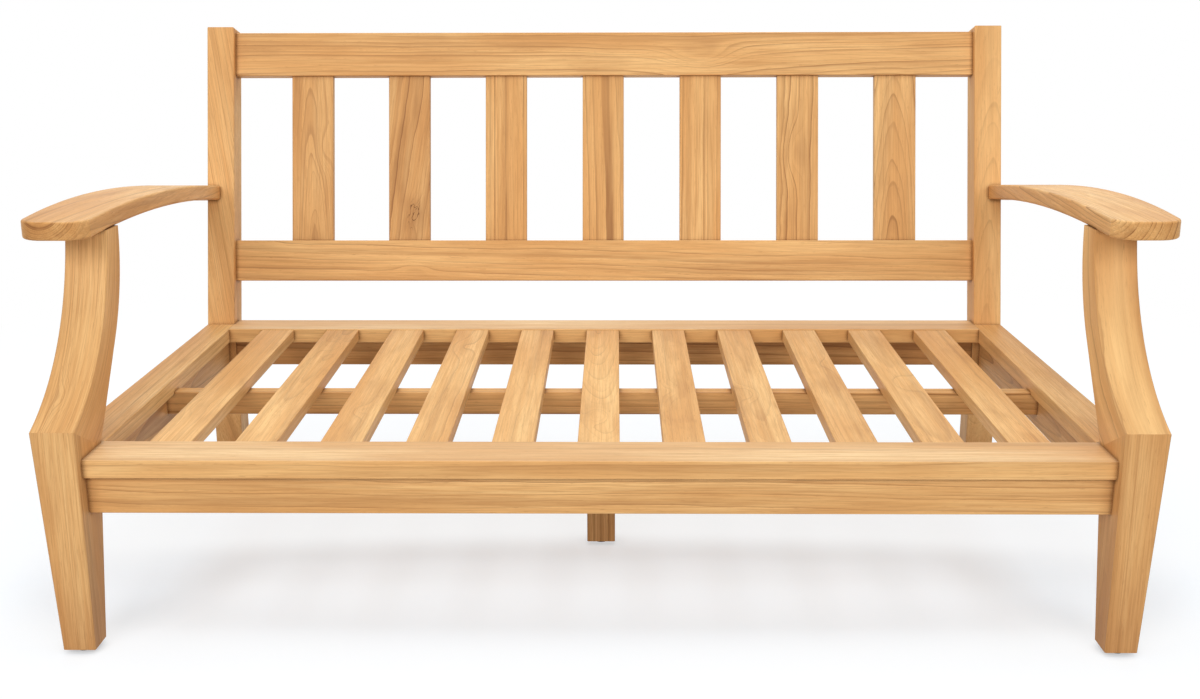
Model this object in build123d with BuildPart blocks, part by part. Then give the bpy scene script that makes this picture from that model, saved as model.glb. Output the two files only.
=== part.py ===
"""Teak patio loveseat: a jointed hardwood frame with a slatted deck and a slatted, reclined back.

Millimetres. +X runs along the seat, the sitter faces -Y and +Z is up. The origin lies on the
floor under the middle of the whole piece. Right-hand pieces are drawn and left-hand ones mirrored.
"""

import os
from collections import namedtuple
from math import cos, radians, sin, sqrt, tan

from build123d import *

# Seat frame: caps round an opening, called the deck
deck_height = 258.5
opening_width = 1289.0
opening_depth = 606.5
cap_thickness = 24.0
front_cap_depth = 77.5
front_cap_setback = 14.5
back_cap_depth = 67.0
back_cap_overhang = 34.5

# Aprons under the caps
apron_height = 50.0
apron_thickness = 22.0
front_apron_setback = 10.0
side_apron_setback = 12.0
back_apron_setback = 4.0

# Seat slats, the beam that carries them at mid depth and its leg
seat_slat_count = 11
seat_slat_width = 55.0
seat_slat_thickness = 18.5
seat_slat_reveal = 1.5
beam_thickness = 24.0
beam_height = 34.5
centre_leg_size = 42.5
centre_leg_headroom = 2.0

# Front legs: upright at the front, tapered at the rear and on the outer side
leg_reveal = 2.5
leg_width = 56.0
knee_above_deck = 41.0
foot_width = 41.5
foot_depth = 40.0
leg_rear_taper = 10.1
seam_angle = 28.0

# Curved posts that carry the arms, joined to the legs at the knee
arm_post_reach = 175.5
arm_post_top_depth = 44.0
arm_post_front_bow = 36.5
arm_post_rear_angle = 54.3
arm_post_bend_above_knee = 77.5

# Arms: arched boards that pass outside the back posts
arm_thickness = 24.0
arm_above_deck = 287.5
arm_crown_from_front = 142.0
arm_arch_radius = 3990.0
arm_nose_from_front = 96.0
arm_nose_width = 90.0
arm_tail_overhang = 69.0
arm_tail_past = 11.5
arm_lap = 20.0
arm_outer_bow = 11.5
nose_cut_depth = 23.0
nose_cut_width = 24.0
nose_cut_bow = 3.0
nose_radius = 34.0
tail_radius = 16.0

# Back posts, one bent piece from foot to top, and the rails and slats between them
post_width = 46.5
post_depth = 50.0
recline = 14.3
back_length = 518.5
rail_thickness = 24.0
rail_setback = 13.0
top_rail_height = 75.0
top_rail_drop = 7.5
lower_rail_height = 70.0
lower_rail_rise = 77.5
back_slat_count = 7
back_slat_width = 72.0
back_slat_thickness = 15.0

# Glides under the feet
glide_radius = 10.0
glide_height = 6.0
glide_stem_radius = 2.5
glide_stem_length = 14.0

# Mortise and tenon joints
glue_gap = 0.2
tenon_thickness = 12.0
tenon_length = 22.0
tenon_shoulder = 7.0
stub_tenon_length = 12.0
slat_tenon_thickness = 9.0
slat_tenon_shoulder = 8.0
arm_tenon_height = 14.0
arm_tenon_shoulder = 10.0

# Dowelled joints; the side caps have an even number, so that none meets the beam's tenon
knee_dowel_radius = 5.0
knee_dowel_length = 54.0
knee_dowel_shares = (0.38, 0.70)
cap_dowel_radius = 4.0
cap_dowel_length = 28.0
long_cap_dowel_count = 5
side_cap_dowel_count = 4
arm_dowel_radius = 4.0
arm_dowel_length = 44.0
arm_dowel_spacing = 22.0

# Screws up through the beam into the slats, and the bolt of the centre leg
screw_radius = 2.0
screw_bite = 12.0
screw_head_radius = 4.0
screw_head_height = 2.5
screw_recess = 8.0
bolt_radius = 3.0
bolt_head_radius = 8.0
bolt_head_height = 3.5
bolt_tip = 3.0
washer_radius = 8.0
washer_thickness = 1.6
nut_across_flats = 10.0
nut_thickness = 5.0
hardware_gap = 0.1

# Softening of the sawn edges
board_ease = 1.5
post_ease = 2.0
support_bevel = 1.5
arm_ease = 3.0

# Slopes and reaches that follow from the sizes
lean_y, lean_z = sin(radians(recline)), cos(radians(recline))
lean_slope = tan(radians(recline))
rear_slope = tan(radians(leg_rear_taper))
seam_slope = tan(radians(seam_angle))
post_from_front = front_cap_setback + front_cap_depth + opening_depth + back_cap_overhang
overall_depth = post_from_front + back_length * lean_y + post_depth * lean_z

# Depths, from front to back
leg_front_y = -overall_depth / 2
front_cap_y = leg_front_y + front_cap_setback
front_apron_y = front_cap_y + front_apron_setback
opening_front_y = front_cap_y + front_cap_depth
opening_rear_y = opening_front_y + opening_depth
opening_mid_y = opening_front_y + opening_depth / 2
beam_rear_y = opening_mid_y + beam_thickness / 2
centre_leg_front_y = beam_rear_y - centre_leg_size
post_y = opening_rear_y + back_cap_overhang
back_apron_y = post_y + back_apron_setback

# Distances from the middle, to the right
opening_x = opening_width / 2
leg_x = opening_x + leg_reveal
side_apron_x = opening_x + side_apron_setback
post_outer_x = opening_x + post_width

# Heights
knee_height = deck_height + knee_above_deck
arm_post_bend_height = knee_height + arm_post_bend_above_knee
arm_crown_height = deck_height + arm_above_deck
cap_bottom = deck_height - cap_thickness
apron_mid_z = cap_bottom - apron_height / 2
slat_top = deck_height - seat_slat_reveal
slat_bottom = slat_top - seat_slat_thickness
slat_mid_z = slat_top - seat_slat_thickness / 2
beam_bottom = slat_bottom - beam_height
beam_mid_z = slat_bottom - beam_height / 2
arm_underside = arm_crown_height - arm_thickness

# The arms' arch, as a circle over the crown, and where an arm meets its back post
arm_nose_y = leg_front_y + arm_nose_from_front
arm_crown_y = leg_front_y + arm_crown_from_front
arch_centre_z = arm_crown_height - arm_arch_radius


def arch_height(y):
    """Return the height of the arms' top face at a depth y."""
    return arch_centre_z + sqrt(arm_arch_radius**2 - (y - arm_crown_y) ** 2)


arm_joint_z = arch_height(post_y) - arm_thickness / 2
arm_joint_y = post_y + (arm_joint_z - deck_height) * lean_slope + post_depth / 2 / lean_z
arm_tail_y = arm_joint_y + post_depth / 2 / lean_z + arm_tail_past

# The reclined plane of the back posts' front faces, and the seam across each knee
back_face = Plane(origin=(0, post_y, deck_height), x_dir=(1, 0, 0), z_dir=(0, -lean_z, lean_y))
seam = Plane(
    origin=(0, leg_front_y, knee_height),
    x_dir=(1, 0, 0),
    z_dir=(0, sin(radians(seam_angle)), cos(radians(seam_angle))),
)

Tenon = namedtuple("Tenon", "place size")
os.makedirs("parts", exist_ok=True)


def save(piece, label):
    """Label a finished piece and write its STEP file."""
    piece.label = label
    export_step(piece, f"parts/{label}.step")


def on_back(x, up, behind):
    """Return a place on the reclined back: along it, up its slope and behind the posts' faces."""
    return back_face.location * Location((x, up, -behind))


def mirrored(tenon):
    """Return the same tenon on the left-hand side."""
    spot = tenon.place.position
    return Tenon(Location((-spot.X, spot.Y, spot.Z), tenon.place.orientation), tenon.size)


def add_tenon(tenon):
    """Add a tenon to the piece being made."""
    with Locations(tenon.place):
        Box(*tenon.size)


def cut_mortise(tenon):
    """Cut the mortise that takes a tenon, with the glue gap all round."""
    with Locations(tenon.place):
        Box(*(edge + 2 * glue_gap for edge in tenon.size), mode=Mode.SUBTRACT)


def drill_dowels(places, radius, length):
    """Drill the holes of dowels that lie half in this piece and half in the next."""
    with Locations(*places):
        Cylinder(radius, length, mode=Mode.SUBTRACT)


def drill_for_glide(spot):
    """Drill a foot upwards for the stem of the glide under it."""
    depth = glide_height + glide_stem_length + hardware_gap
    with Locations(spot):
        Cylinder(
            glide_stem_radius + hardware_gap,
            depth,
            align=(Align.CENTER, Align.CENTER, Align.MIN),
            mode=Mode.SUBTRACT,
        )


def leg_outer_at(z):
    """Return the x of a front leg's tapered outer face at a height z."""
    share = (z - glide_height) / (knee_height - glide_height)
    return leg_x + foot_width + (leg_width - foot_width) * share


def spread(count, span):
    """Return evenly spaced places along a span about zero."""
    return [span / count * (i - (count - 1) / 2) for i in range(count)]


def slat_places(count, width):
    """Return the x of each slat's middle, with equal gaps between and beside the slats."""
    gap = (opening_width - count * width) / (count + 1)
    return [(width + gap) * (i - (count - 1) / 2) for i in range(count)]


# Side outline of a front leg and its arm post, drawn as one shape
heel_depth = foot_depth + (knee_height - glide_height) * rear_slope
corner_depth = heel_depth / (1 + rear_slope * seam_slope)
corner = (leg_front_y + corner_depth, knee_height - corner_depth * seam_slope)
rise = arm_post_bend_height - corner[1]
run = rise / tan(radians(arm_post_rear_angle))
bend = (corner[0] + run, arm_post_bend_height)
post_top_front = (leg_front_y + arm_post_reach, arm_underside)
post_top_rear = (post_top_front[0] + arm_post_top_depth, arm_underside)
with BuildSketch(Plane.YZ) as support_outline:
    with BuildLine():
        Polyline(
            post_top_rear,
            (post_top_rear[0], arm_crown_height),
            (post_top_front[0], arm_crown_height),
            post_top_front,
        )
        SagittaArc(post_top_front, (leg_front_y, knee_height), arm_post_front_bow)
        Polyline(
            (leg_front_y, knee_height),
            (leg_front_y, glide_height),
            (leg_front_y + foot_depth, glide_height),
            corner,
            bend,
        )
        TangentArc(bend, post_top_rear, tangent=(run, rise))
    make_face()

# Side outline of a back post: upright below the deck, reclined above it
back_top = (post_y + back_length * lean_y, deck_height + back_length * lean_z)
with BuildSketch(Plane.YZ) as back_post_outline:
    with BuildLine():
        Polyline(
            (post_y, glide_height),
            (post_y, deck_height),
            back_top,
            (back_top[0] + post_depth * lean_z, back_top[1] - post_depth * lean_y),
            (post_y + post_depth, deck_height - post_depth * tan(radians(recline / 2))),
            (post_y + post_depth, glide_height),
            close=True,
        )
    make_face()

# Everything behind the reclined front face of a back post, which laps the arm
with BuildSketch(Plane.YZ) as behind_post_outline:
    with BuildLine():
        Polyline(
            (post_y, deck_height),
            back_top,
            (back_top[0] + overall_depth, back_top[1]),
            (back_top[0] + overall_depth, deck_height),
            close=True,
        )
    make_face()

# Plan of the right arm, from its cut nose to its rounded tail
nose_outer_x = leg_x + arm_nose_width
tail_outer_x = post_outer_x + arm_tail_overhang
with BuildSketch(Plane.XY.offset(deck_height)) as arm_plan:
    with BuildLine():
        nose_inner = (leg_x, arm_nose_y + nose_cut_depth)
        nose_left = (leg_x + nose_cut_width, arm_nose_y)
        nose_right = (nose_outer_x - nose_radius, arm_nose_y)
        nose_outer = (nose_outer_x, arm_nose_y + nose_radius)
        tail_outer = (tail_outer_x, arm_tail_y - tail_radius)
        tail_right = (tail_outer_x - tail_radius, arm_tail_y)
        SagittaArc(nose_inner, nose_left, -nose_cut_bow)
        Line(nose_left, nose_right)
        RadiusArc(nose_right, nose_outer, -nose_radius)
        SagittaArc(nose_outer, tail_outer, -arm_outer_bow)
        RadiusArc(tail_outer, tail_right, -tail_radius)
        Polyline(tail_right, (post_outer_x - arm_lap, arm_tail_y), nose_inner)
    make_face()

# Tenons on the right, each shared by the piece that has it and the piece that takes it
apron_tenon_height = apron_height - 2 * tenon_shoulder
side_apron_mid_x = side_apron_x + apron_thickness / 2
leg_rear_y = leg_front_y + foot_depth + (apron_mid_z - glide_height) * rear_slope
front_apron_tenon = Tenon(
    Location((leg_x + tenon_length / 2, front_apron_y + apron_thickness / 2, apron_mid_z)),
    (tenon_length, tenon_thickness, apron_tenon_height),
)
back_apron_tenon = Tenon(
    Location((opening_x + stub_tenon_length / 2, back_apron_y + apron_thickness / 2, apron_mid_z)),
    (stub_tenon_length, tenon_thickness, apron_tenon_height),
)
side_apron_front_tenon = Tenon(
    Location((side_apron_mid_x, leg_rear_y, apron_mid_z)),
    (tenon_thickness, 2 * tenon_length, apron_tenon_height),
)
side_apron_rear_tenon = Tenon(
    Location((side_apron_mid_x, post_y + tenon_length / 2, apron_mid_z)),
    (tenon_thickness, tenon_length, apron_tenon_height),
)
beam_tenon = Tenon(
    Location((side_apron_x + stub_tenon_length / 2, opening_mid_y, beam_mid_z)),
    (stub_tenon_length, tenon_thickness, beam_height - 2 * tenon_shoulder),
)
arm_tenon_y = post_top_front[0] + arm_post_top_depth / 2
arm_tenon = Tenon(
    Location((leg_x + leg_width / 2, arm_tenon_y, arch_height(arm_tenon_y) - arm_thickness)),
    (
        leg_width - 2 * arm_tenon_shoulder,
        arm_post_top_depth - 2 * arm_tenon_shoulder,
        2 * arm_tenon_height,
    ),
)


def seat_slat_tenon(x, cap_edge, side):
    """Return a seat slat's tenon past a cap's edge: side is 1 towards the back and -1 the front."""
    return Tenon(
        Location((x, cap_edge + side * stub_tenon_length / 2, slat_mid_z)),
        (seat_slat_width - 2 * slat_tenon_shoulder, stub_tenon_length, slat_tenon_thickness),
    )


def rail_tenon(height, middle):
    """Return a back rail's tenon into the right post."""
    return Tenon(
        on_back(opening_x + tenon_length / 2, middle, back_frame_mid),
        (tenon_length, height - 2 * tenon_shoulder, tenon_thickness),
    )


def back_slat_tenon(x, rail_edge, side):
    """Return a back slat's tenon past a rail's edge: side is 1 above it and -1 below."""
    return Tenon(
        on_back(x, rail_edge + side * stub_tenon_length / 2, back_frame_mid),
        (back_slat_width - 2 * slat_tenon_shoulder, stub_tenon_length, slat_tenon_thickness),
    )


back_frame_mid = rail_setback + rail_thickness / 2
top_rail_mid = back_length - top_rail_drop - top_rail_height / 2
top_rail_foot = top_rail_mid - top_rail_height / 2
lower_rail_mid = lower_rail_rise + lower_rail_height / 2
lower_rail_head = lower_rail_mid + lower_rail_height / 2
top_rail_tenon = rail_tenon(top_rail_height, top_rail_mid)
lower_rail_tenon = rail_tenon(lower_rail_height, lower_rail_mid)

# Places of slats, dowels, screws and glides
seat_slat_xs = slat_places(seat_slat_count, seat_slat_width)
back_slat_xs = slat_places(back_slat_count, back_slat_width)
knee_dowel_places = [
    seam.location * Location((leg_x + leg_width / 2, corner_depth * share, 0))
    for share in knee_dowel_shares
]
front_cap_dowel_places = [
    Location((x, front_apron_y + apron_thickness / 2, cap_bottom))
    for x in spread(long_cap_dowel_count, opening_width)
]
back_cap_dowel_places = [
    Location((x, back_apron_y + apron_thickness / 2, cap_bottom))
    for x in spread(long_cap_dowel_count, opening_width)
]
side_cap_dowel_places = [
    Location((side_apron_mid_x, opening_mid_y + y, cap_bottom))
    for y in spread(side_cap_dowel_count, opening_depth)
]
arm_dowel_places = [
    Plane(origin=(post_outer_x, y, arch_height(y) - arm_thickness / 2), z_dir=(1, 0, 0)).location
    for y in (arm_joint_y - arm_dowel_spacing / 2, arm_joint_y + arm_dowel_spacing / 2)
]
screw_xs = [x for x in seat_slat_xs if abs(x) > centre_leg_size / 2 + screw_head_radius]
glide_spots = {
    "glide_front_right": (leg_x + foot_width / 2, leg_front_y + foot_depth / 2, 0),
    "glide_front_left": (-(leg_x + foot_width / 2), leg_front_y + foot_depth / 2, 0),
    "glide_rear_right": (opening_x + post_width / 2, post_y + post_depth / 2, 0),
    "glide_rear_left": (-(opening_x + post_width / 2), post_y + post_depth / 2, 0),
    "glide_centre": (0, centre_leg_front_y + centre_leg_size / 2, 0),
}

# Front legs, from the glides up to the seam at the knee
with BuildPart() as front_leg_right:
    extrude(support_outline.sketch, amount=leg_x + leg_width)
    with BuildSketch(Plane.XZ.offset(-leg_front_y)):
        with BuildLine():
            Polyline(
                (leg_x, glide_height),
                (leg_x, knee_height),
                (leg_outer_at(knee_height), knee_height),
                (leg_outer_at(glide_height), glide_height),
                close=True,
            )
        make_face()
    extrude(amount=-overall_depth, mode=Mode.INTERSECT)
    split(bisect_by=seam, keep=Keep.BOTTOM)
    chamfer(front_leg_right.edges().sort_by(SortBy.LENGTH)[-4:], support_bevel)
    cut_mortise(front_apron_tenon)
    cut_mortise(side_apron_front_tenon)
    drill_dowels(knee_dowel_places, knee_dowel_radius, knee_dowel_length)
    drill_for_glide(glide_spots["glide_front_right"])
save(front_leg_right.part, "front_leg_right")

with BuildPart() as front_leg_left:
    mirror(front_leg_right.part, about=Plane.YZ)
save(front_leg_left.part, "front_leg_left")

# Curved arm posts, from the seam at the knee up to the underside of the arms
with BuildPart() as arm_post_right:
    extrude(support_outline.sketch, amount=leg_x + leg_width)
    split(bisect_by=Plane.YZ.offset(leg_x), keep=Keep.TOP)
    split(bisect_by=seam, keep=Keep.TOP)
    with BuildSketch(Plane.YZ):
        with Locations((arm_crown_y, arch_centre_z)):
            Circle(arm_arch_radius - arm_thickness)
    extrude(amount=leg_x + leg_width, mode=Mode.INTERSECT)
    chamfer(arm_post_right.edges().sort_by(SortBy.LENGTH)[-6:], support_bevel)
    add_tenon(arm_tenon)
    drill_dowels(knee_dowel_places, knee_dowel_radius, knee_dowel_length)
save(arm_post_right.part, "arm_post_right")

with BuildPart() as arm_post_left:
    mirror(arm_post_right.part, about=Plane.YZ)
save(arm_post_left.part, "arm_post_left")

with BuildPart() as knee_dowels:
    with Locations(*knee_dowel_places):
        Cylinder(knee_dowel_radius, knee_dowel_length)
    mirror(about=Plane.YZ)
save(knee_dowels.part, "knee_dowels")

# Arms, butted on the front of the back posts and lapped round their outer sides
with BuildPart() as arm_right:
    extrude(arm_plan.sketch, amount=arm_crown_height)
    with BuildSketch(Plane.YZ):
        with Locations((arm_crown_y, arch_centre_z)):
            Circle(arm_arch_radius)
            Circle(arm_arch_radius - arm_thickness, mode=Mode.SUBTRACT)
    extrude(amount=tail_outer_x + arm_nose_width, mode=Mode.INTERSECT)
    fillet(arm_right.faces().sort_by(SortBy.AREA)[-2:].edges(), arm_ease)
    extrude(behind_post_outline.sketch, amount=post_outer_x, mode=Mode.SUBTRACT)
    cut_mortise(arm_tenon)
    drill_dowels(arm_dowel_places, arm_dowel_radius, arm_dowel_length)
save(arm_right.part, "arm_right")

with BuildPart() as arm_left:
    mirror(arm_right.part, about=Plane.YZ)
save(arm_left.part, "arm_left")

with BuildPart() as arm_dowels:
    with Locations(*arm_dowel_places):
        Cylinder(arm_dowel_radius, arm_dowel_length)
    mirror(about=Plane.YZ)
save(arm_dowels.part, "arm_dowels")

# Back posts, from the rear glides to the top of the back
with BuildPart() as back_post_right:
    extrude(back_post_outline.sketch, amount=post_outer_x)
    split(bisect_by=Plane.YZ.offset(opening_x), keep=Keep.TOP)
    fillet(back_post_right.faces().filter_by(Axis.X).edges(), post_ease)
    cut_mortise(top_rail_tenon)
    cut_mortise(lower_rail_tenon)
    cut_mortise(back_apron_tenon)
    cut_mortise(side_apron_rear_tenon)
    drill_dowels(arm_dowel_places, arm_dowel_radius, arm_dowel_length)
    drill_for_glide(glide_spots["glide_rear_right"])
save(back_post_right.part, "back_post_right")

with BuildPart() as back_post_left:
    mirror(back_post_right.part, about=Plane.YZ)
save(back_post_left.part, "back_post_left")

# Back rails, with mortises for the back slats
with BuildPart() as top_back_rail:
    with Locations(on_back(0, top_rail_mid, back_frame_mid)):
        Box(opening_width, top_rail_height, rail_thickness)
    fillet(top_back_rail.edges().filter_by(Axis.X), board_ease)
    add_tenon(top_rail_tenon)
    add_tenon(mirrored(top_rail_tenon))
    for slat_x in back_slat_xs:
        cut_mortise(back_slat_tenon(slat_x, top_rail_foot, 1))
save(top_back_rail.part, "top_back_rail")

with BuildPart() as lower_back_rail:
    with Locations(on_back(0, lower_rail_mid, back_frame_mid)):
        Box(opening_width, lower_rail_height, rail_thickness)
    fillet(lower_back_rail.edges().filter_by(Axis.X), board_ease)
    add_tenon(lower_rail_tenon)
    add_tenon(mirrored(lower_rail_tenon))
    for slat_x in back_slat_xs:
        cut_mortise(back_slat_tenon(slat_x, lower_rail_head, -1))
save(lower_back_rail.part, "lower_back_rail")

for number, slat_x in enumerate(back_slat_xs, start=1):
    with BuildPart() as back_slat:
        with Locations(on_back(slat_x, (top_rail_foot + lower_rail_head) / 2, back_frame_mid)):
            Box(back_slat_width, top_rail_foot - lower_rail_head, back_slat_thickness)
        fillet(back_slat.edges().group_by(SortBy.LENGTH)[-1], board_ease)
        add_tenon(back_slat_tenon(slat_x, top_rail_foot, 1))
        add_tenon(back_slat_tenon(slat_x, lower_rail_head, -1))
    save(back_slat.part, f"back_slat_{number}")

# Caps round the deck, front and back with mortises for the seat slats
with BuildPart() as seat_cap_front:
    with Locations((0, front_cap_y + front_cap_depth / 2, deck_height - cap_thickness / 2)):
        Box(2 * leg_x, front_cap_depth, cap_thickness)
    fillet(seat_cap_front.edges().filter_by(Axis.X), board_ease)
    for slat_x in seat_slat_xs:
        cut_mortise(seat_slat_tenon(slat_x, opening_front_y, -1))
    drill_dowels(front_cap_dowel_places, cap_dowel_radius, cap_dowel_length)
save(seat_cap_front.part, "seat_cap_front")

with BuildPart() as seat_cap_back:
    with Locations((0, opening_rear_y + back_cap_depth / 2, deck_height - cap_thickness / 2)):
        Box(opening_width, back_cap_depth, cap_thickness)
    fillet(seat_cap_back.edges().filter_by(Axis.X), board_ease)
    for slat_x in seat_slat_xs:
        cut_mortise(seat_slat_tenon(slat_x, opening_rear_y, 1))
    drill_dowels(back_cap_dowel_places, cap_dowel_radius, cap_dowel_length)
save(seat_cap_back.part, "seat_cap_back")

with BuildPart() as seat_cap_right:
    with BuildSketch(Plane.XY.offset(cap_bottom)):
        with BuildLine():
            Polyline(
                (opening_x, opening_front_y),
                (leg_x, opening_front_y),
                (leg_x, leg_front_y + foot_depth),
                (leg_outer_at(deck_height), leg_front_y + foot_depth),
                (post_outer_x, post_y),
                (opening_x, post_y),
                close=True,
            )
        make_face()
    extrude(amount=cap_thickness)
    fillet(seat_cap_right.edges().sort_by(SortBy.LENGTH)[-4:], board_ease)
    extrude(support_outline.sketch, amount=leg_x + leg_width, mode=Mode.SUBTRACT)
    drill_dowels(side_cap_dowel_places, cap_dowel_radius, cap_dowel_length)
save(seat_cap_right.part, "seat_cap_right")

with BuildPart() as seat_cap_left:
    mirror(seat_cap_right.part, about=Plane.YZ)
save(seat_cap_left.part, "seat_cap_left")

# Aprons under the caps, tenoned into the legs and the back posts
with BuildPart() as apron_front:
    with Locations((0, front_apron_y + apron_thickness / 2, apron_mid_z)):
        Box(2 * leg_x, apron_thickness, apron_height)
    fillet(apron_front.edges().filter_by(Axis.X), board_ease)
    add_tenon(front_apron_tenon)
    add_tenon(mirrored(front_apron_tenon))
    drill_dowels(front_cap_dowel_places, cap_dowel_radius, cap_dowel_length)
save(apron_front.part, "apron_front")

with BuildPart() as apron_back:
    with Locations((0, back_apron_y + apron_thickness / 2, apron_mid_z)):
        Box(opening_width, apron_thickness, apron_height)
    fillet(apron_back.edges().filter_by(Axis.X), board_ease)
    add_tenon(back_apron_tenon)
    add_tenon(mirrored(back_apron_tenon))
    drill_dowels(back_cap_dowel_places, cap_dowel_radius, cap_dowel_length)
save(apron_back.part, "apron_back")

with BuildPart() as apron_right:
    side_apron_front_y = leg_front_y + foot_depth
    with Locations((side_apron_mid_x, (side_apron_front_y + post_y) / 2, apron_mid_z)):
        Box(apron_thickness, post_y - side_apron_front_y, apron_height)
    fillet(apron_right.edges().filter_by(Axis.Y), board_ease)
    extrude(support_outline.sketch, amount=leg_x + leg_width, mode=Mode.SUBTRACT)
    add_tenon(side_apron_front_tenon)
    add_tenon(side_apron_rear_tenon)
    cut_mortise(beam_tenon)
    drill_dowels(side_cap_dowel_places, cap_dowel_radius, cap_dowel_length)
save(apron_right.part, "apron_right")

with BuildPart() as apron_left:
    mirror(apron_right.part, about=Plane.YZ)
save(apron_left.part, "apron_left")

with BuildPart() as cap_dowels:
    with Locations(*side_cap_dowel_places):
        Cylinder(cap_dowel_radius, cap_dowel_length)
    mirror(about=Plane.YZ)
    with Locations(*front_cap_dowel_places, *back_cap_dowel_places):
        Cylinder(cap_dowel_radius, cap_dowel_length)
save(cap_dowels.part, "cap_dowels")

# Seat slats, from the front cap to the back cap
for number, slat_x in enumerate(seat_slat_xs, start=1):
    with BuildPart() as seat_slat:
        with Locations((slat_x, opening_mid_y, slat_mid_z)):
            Box(seat_slat_width, opening_depth, seat_slat_thickness)
        fillet(seat_slat.edges().filter_by(Axis.Y), board_ease)
        add_tenon(seat_slat_tenon(slat_x, opening_front_y, -1))
        add_tenon(seat_slat_tenon(slat_x, opening_rear_y, 1))
        if slat_x in screw_xs:
            drill_dowels(
                [Location((slat_x, opening_mid_y, slat_bottom))],
                screw_radius,
                2 * screw_bite,
            )
    save(seat_slat.part, f"seat_slat_{number:02d}")

# Beam under the slats, tenoned into the side aprons and notched under the side caps
with BuildPart() as centre_beam:
    with Locations((0, opening_mid_y, beam_mid_z)):
        Box(2 * side_apron_x, beam_thickness, beam_height)
    fillet(centre_beam.edges().filter_by(Axis.X), board_ease)
    with Locations(*((x, opening_mid_y, deck_height) for x in (-side_apron_x, side_apron_x))):
        Box(2 * side_apron_setback, beam_thickness, 2 * cap_thickness, mode=Mode.SUBTRACT)
    add_tenon(beam_tenon)
    add_tenon(mirrored(beam_tenon))
    with Locations(*(Plane((x, opening_mid_y, beam_bottom), z_dir=(0, 0, -1)) for x in screw_xs)):
        CounterBoreHole(
            radius=screw_radius + hardware_gap,
            counter_bore_radius=screw_head_radius + hardware_gap,
            counter_bore_depth=screw_recess + screw_head_height,
            depth=beam_height,
        )
    with Locations(Plane((0, beam_rear_y, beam_mid_z), z_dir=(0, 1, 0))):
        Hole(bolt_radius + hardware_gap, depth=beam_thickness)
save(centre_beam.part, "centre_beam")

with BuildPart() as slat_screws:
    head_z = beam_bottom + screw_recess
    shank_z = head_z + screw_head_height
    with Locations(*((x, opening_mid_y, head_z) for x in screw_xs)):
        Cylinder(
            screw_head_radius,
            screw_head_height,
            align=(Align.CENTER, Align.CENTER, Align.MIN),
        )
    with Locations(*((x, opening_mid_y, shank_z) for x in screw_xs)):
        Cylinder(
            screw_radius,
            slat_bottom + screw_bite - shank_z,
            align=(Align.CENTER, Align.CENTER, Align.MIN),
        )
save(slat_screws.part, "slat_screws")

# Centre leg, rebated at the rear for the beam and bolted to it
with BuildPart() as centre_leg:
    leg_top = slat_bottom - centre_leg_headroom
    leg_mid_y = centre_leg_front_y + centre_leg_size / 2
    with Locations((0, leg_mid_y, (glide_height + leg_top) / 2)):
        Box(centre_leg_size, centre_leg_size, leg_top - glide_height)
    fillet(centre_leg.edges().filter_by(Axis.Z), post_ease)
    with Locations((0, opening_mid_y, beam_bottom)):
        Box(
            centre_leg_size,
            beam_thickness,
            beam_height,
            align=(Align.CENTER, Align.CENTER, Align.MIN),
            mode=Mode.SUBTRACT,
        )
    with Locations(Plane((0, beam_rear_y - beam_thickness, beam_mid_z), z_dir=(0, 1, 0))):
        Hole(bolt_radius + hardware_gap, depth=centre_leg_size)
    drill_for_glide(glide_spots["glide_centre"])
save(centre_leg.part, "centre_leg")

# Bolt of the centre leg: domed head in front, washer and nut behind the beam
along_bolt = Plane((0, centre_leg_front_y, beam_mid_z), x_dir=(1, 0, 0), z_dir=(0, 1, 0))
with BuildPart(along_bolt) as centre_bolt:
    with Locations((0, 0, -bolt_head_height)):
        Cylinder(
            bolt_head_radius,
            bolt_head_height,
            align=(Align.CENTER, Align.CENTER, Align.MIN),
        )
    fillet(centre_bolt.edges().sort_by(Axis.Y)[0], bolt_head_height / 2)
    Cylinder(
        bolt_radius,
        centre_leg_size + washer_thickness + nut_thickness + bolt_tip,
        align=(Align.CENTER, Align.CENTER, Align.MIN),
    )
save(centre_bolt.part, "centre_bolt")

with BuildPart(along_bolt.offset(centre_leg_size)) as centre_washer:
    Cylinder(washer_radius, washer_thickness, align=(Align.CENTER, Align.CENTER, Align.MIN))
    Hole(bolt_radius + hardware_gap)
save(centre_washer.part, "centre_washer")

with BuildPart() as centre_nut:
    with BuildSketch(along_bolt.offset(centre_leg_size + washer_thickness)):
        RegularPolygon(nut_across_flats / 2, side_count=6, major_radius=False)
        Circle(bolt_radius + hardware_gap, mode=Mode.SUBTRACT)
    extrude(amount=nut_thickness)
save(centre_nut.part, "centre_nut")

# Glides, each a disc under a foot with a stem driven into the wood
for glide_name, spot in glide_spots.items():
    with BuildPart() as glide:
        with Locations(spot):
            Cylinder(glide_radius, glide_height, align=(Align.CENTER, Align.CENTER, Align.MIN))
            fillet(glide.edges().filter_by(GeomType.CIRCLE).sort_by(Axis.Z)[0], board_ease)
            Cylinder(
                glide_stem_radius,
                glide_height + glide_stem_length,
                align=(Align.CENTER, Align.CENTER, Align.MIN),
            )
    save(glide.part, glide_name)

print(f"overall width {2 * arm_right.part.bounding_box().max.X:.1f}")
print(f"overall depth {overall_depth:.1f}")
print(f"overall height {back_top[1]:.1f}")
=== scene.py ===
"""Dress a teak patio loveseat: sawn boards with solid grain, moulded glides and steel fasteners.

Metres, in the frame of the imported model: +X along the seat, the front towards -Y and +Z up.
Every board's grain is one solid figure of growth rings round a pith, cut by the board's faces,
so that its long faces, its edges and its end grain agree.
"""

import logging
import math
import random
from collections.abc import Callable, Iterable, Sequence
from dataclasses import dataclass, field, replace
from enum import Enum
from functools import partial

import bmesh
import bpy
from mathutils import Matrix, Vector

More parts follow.
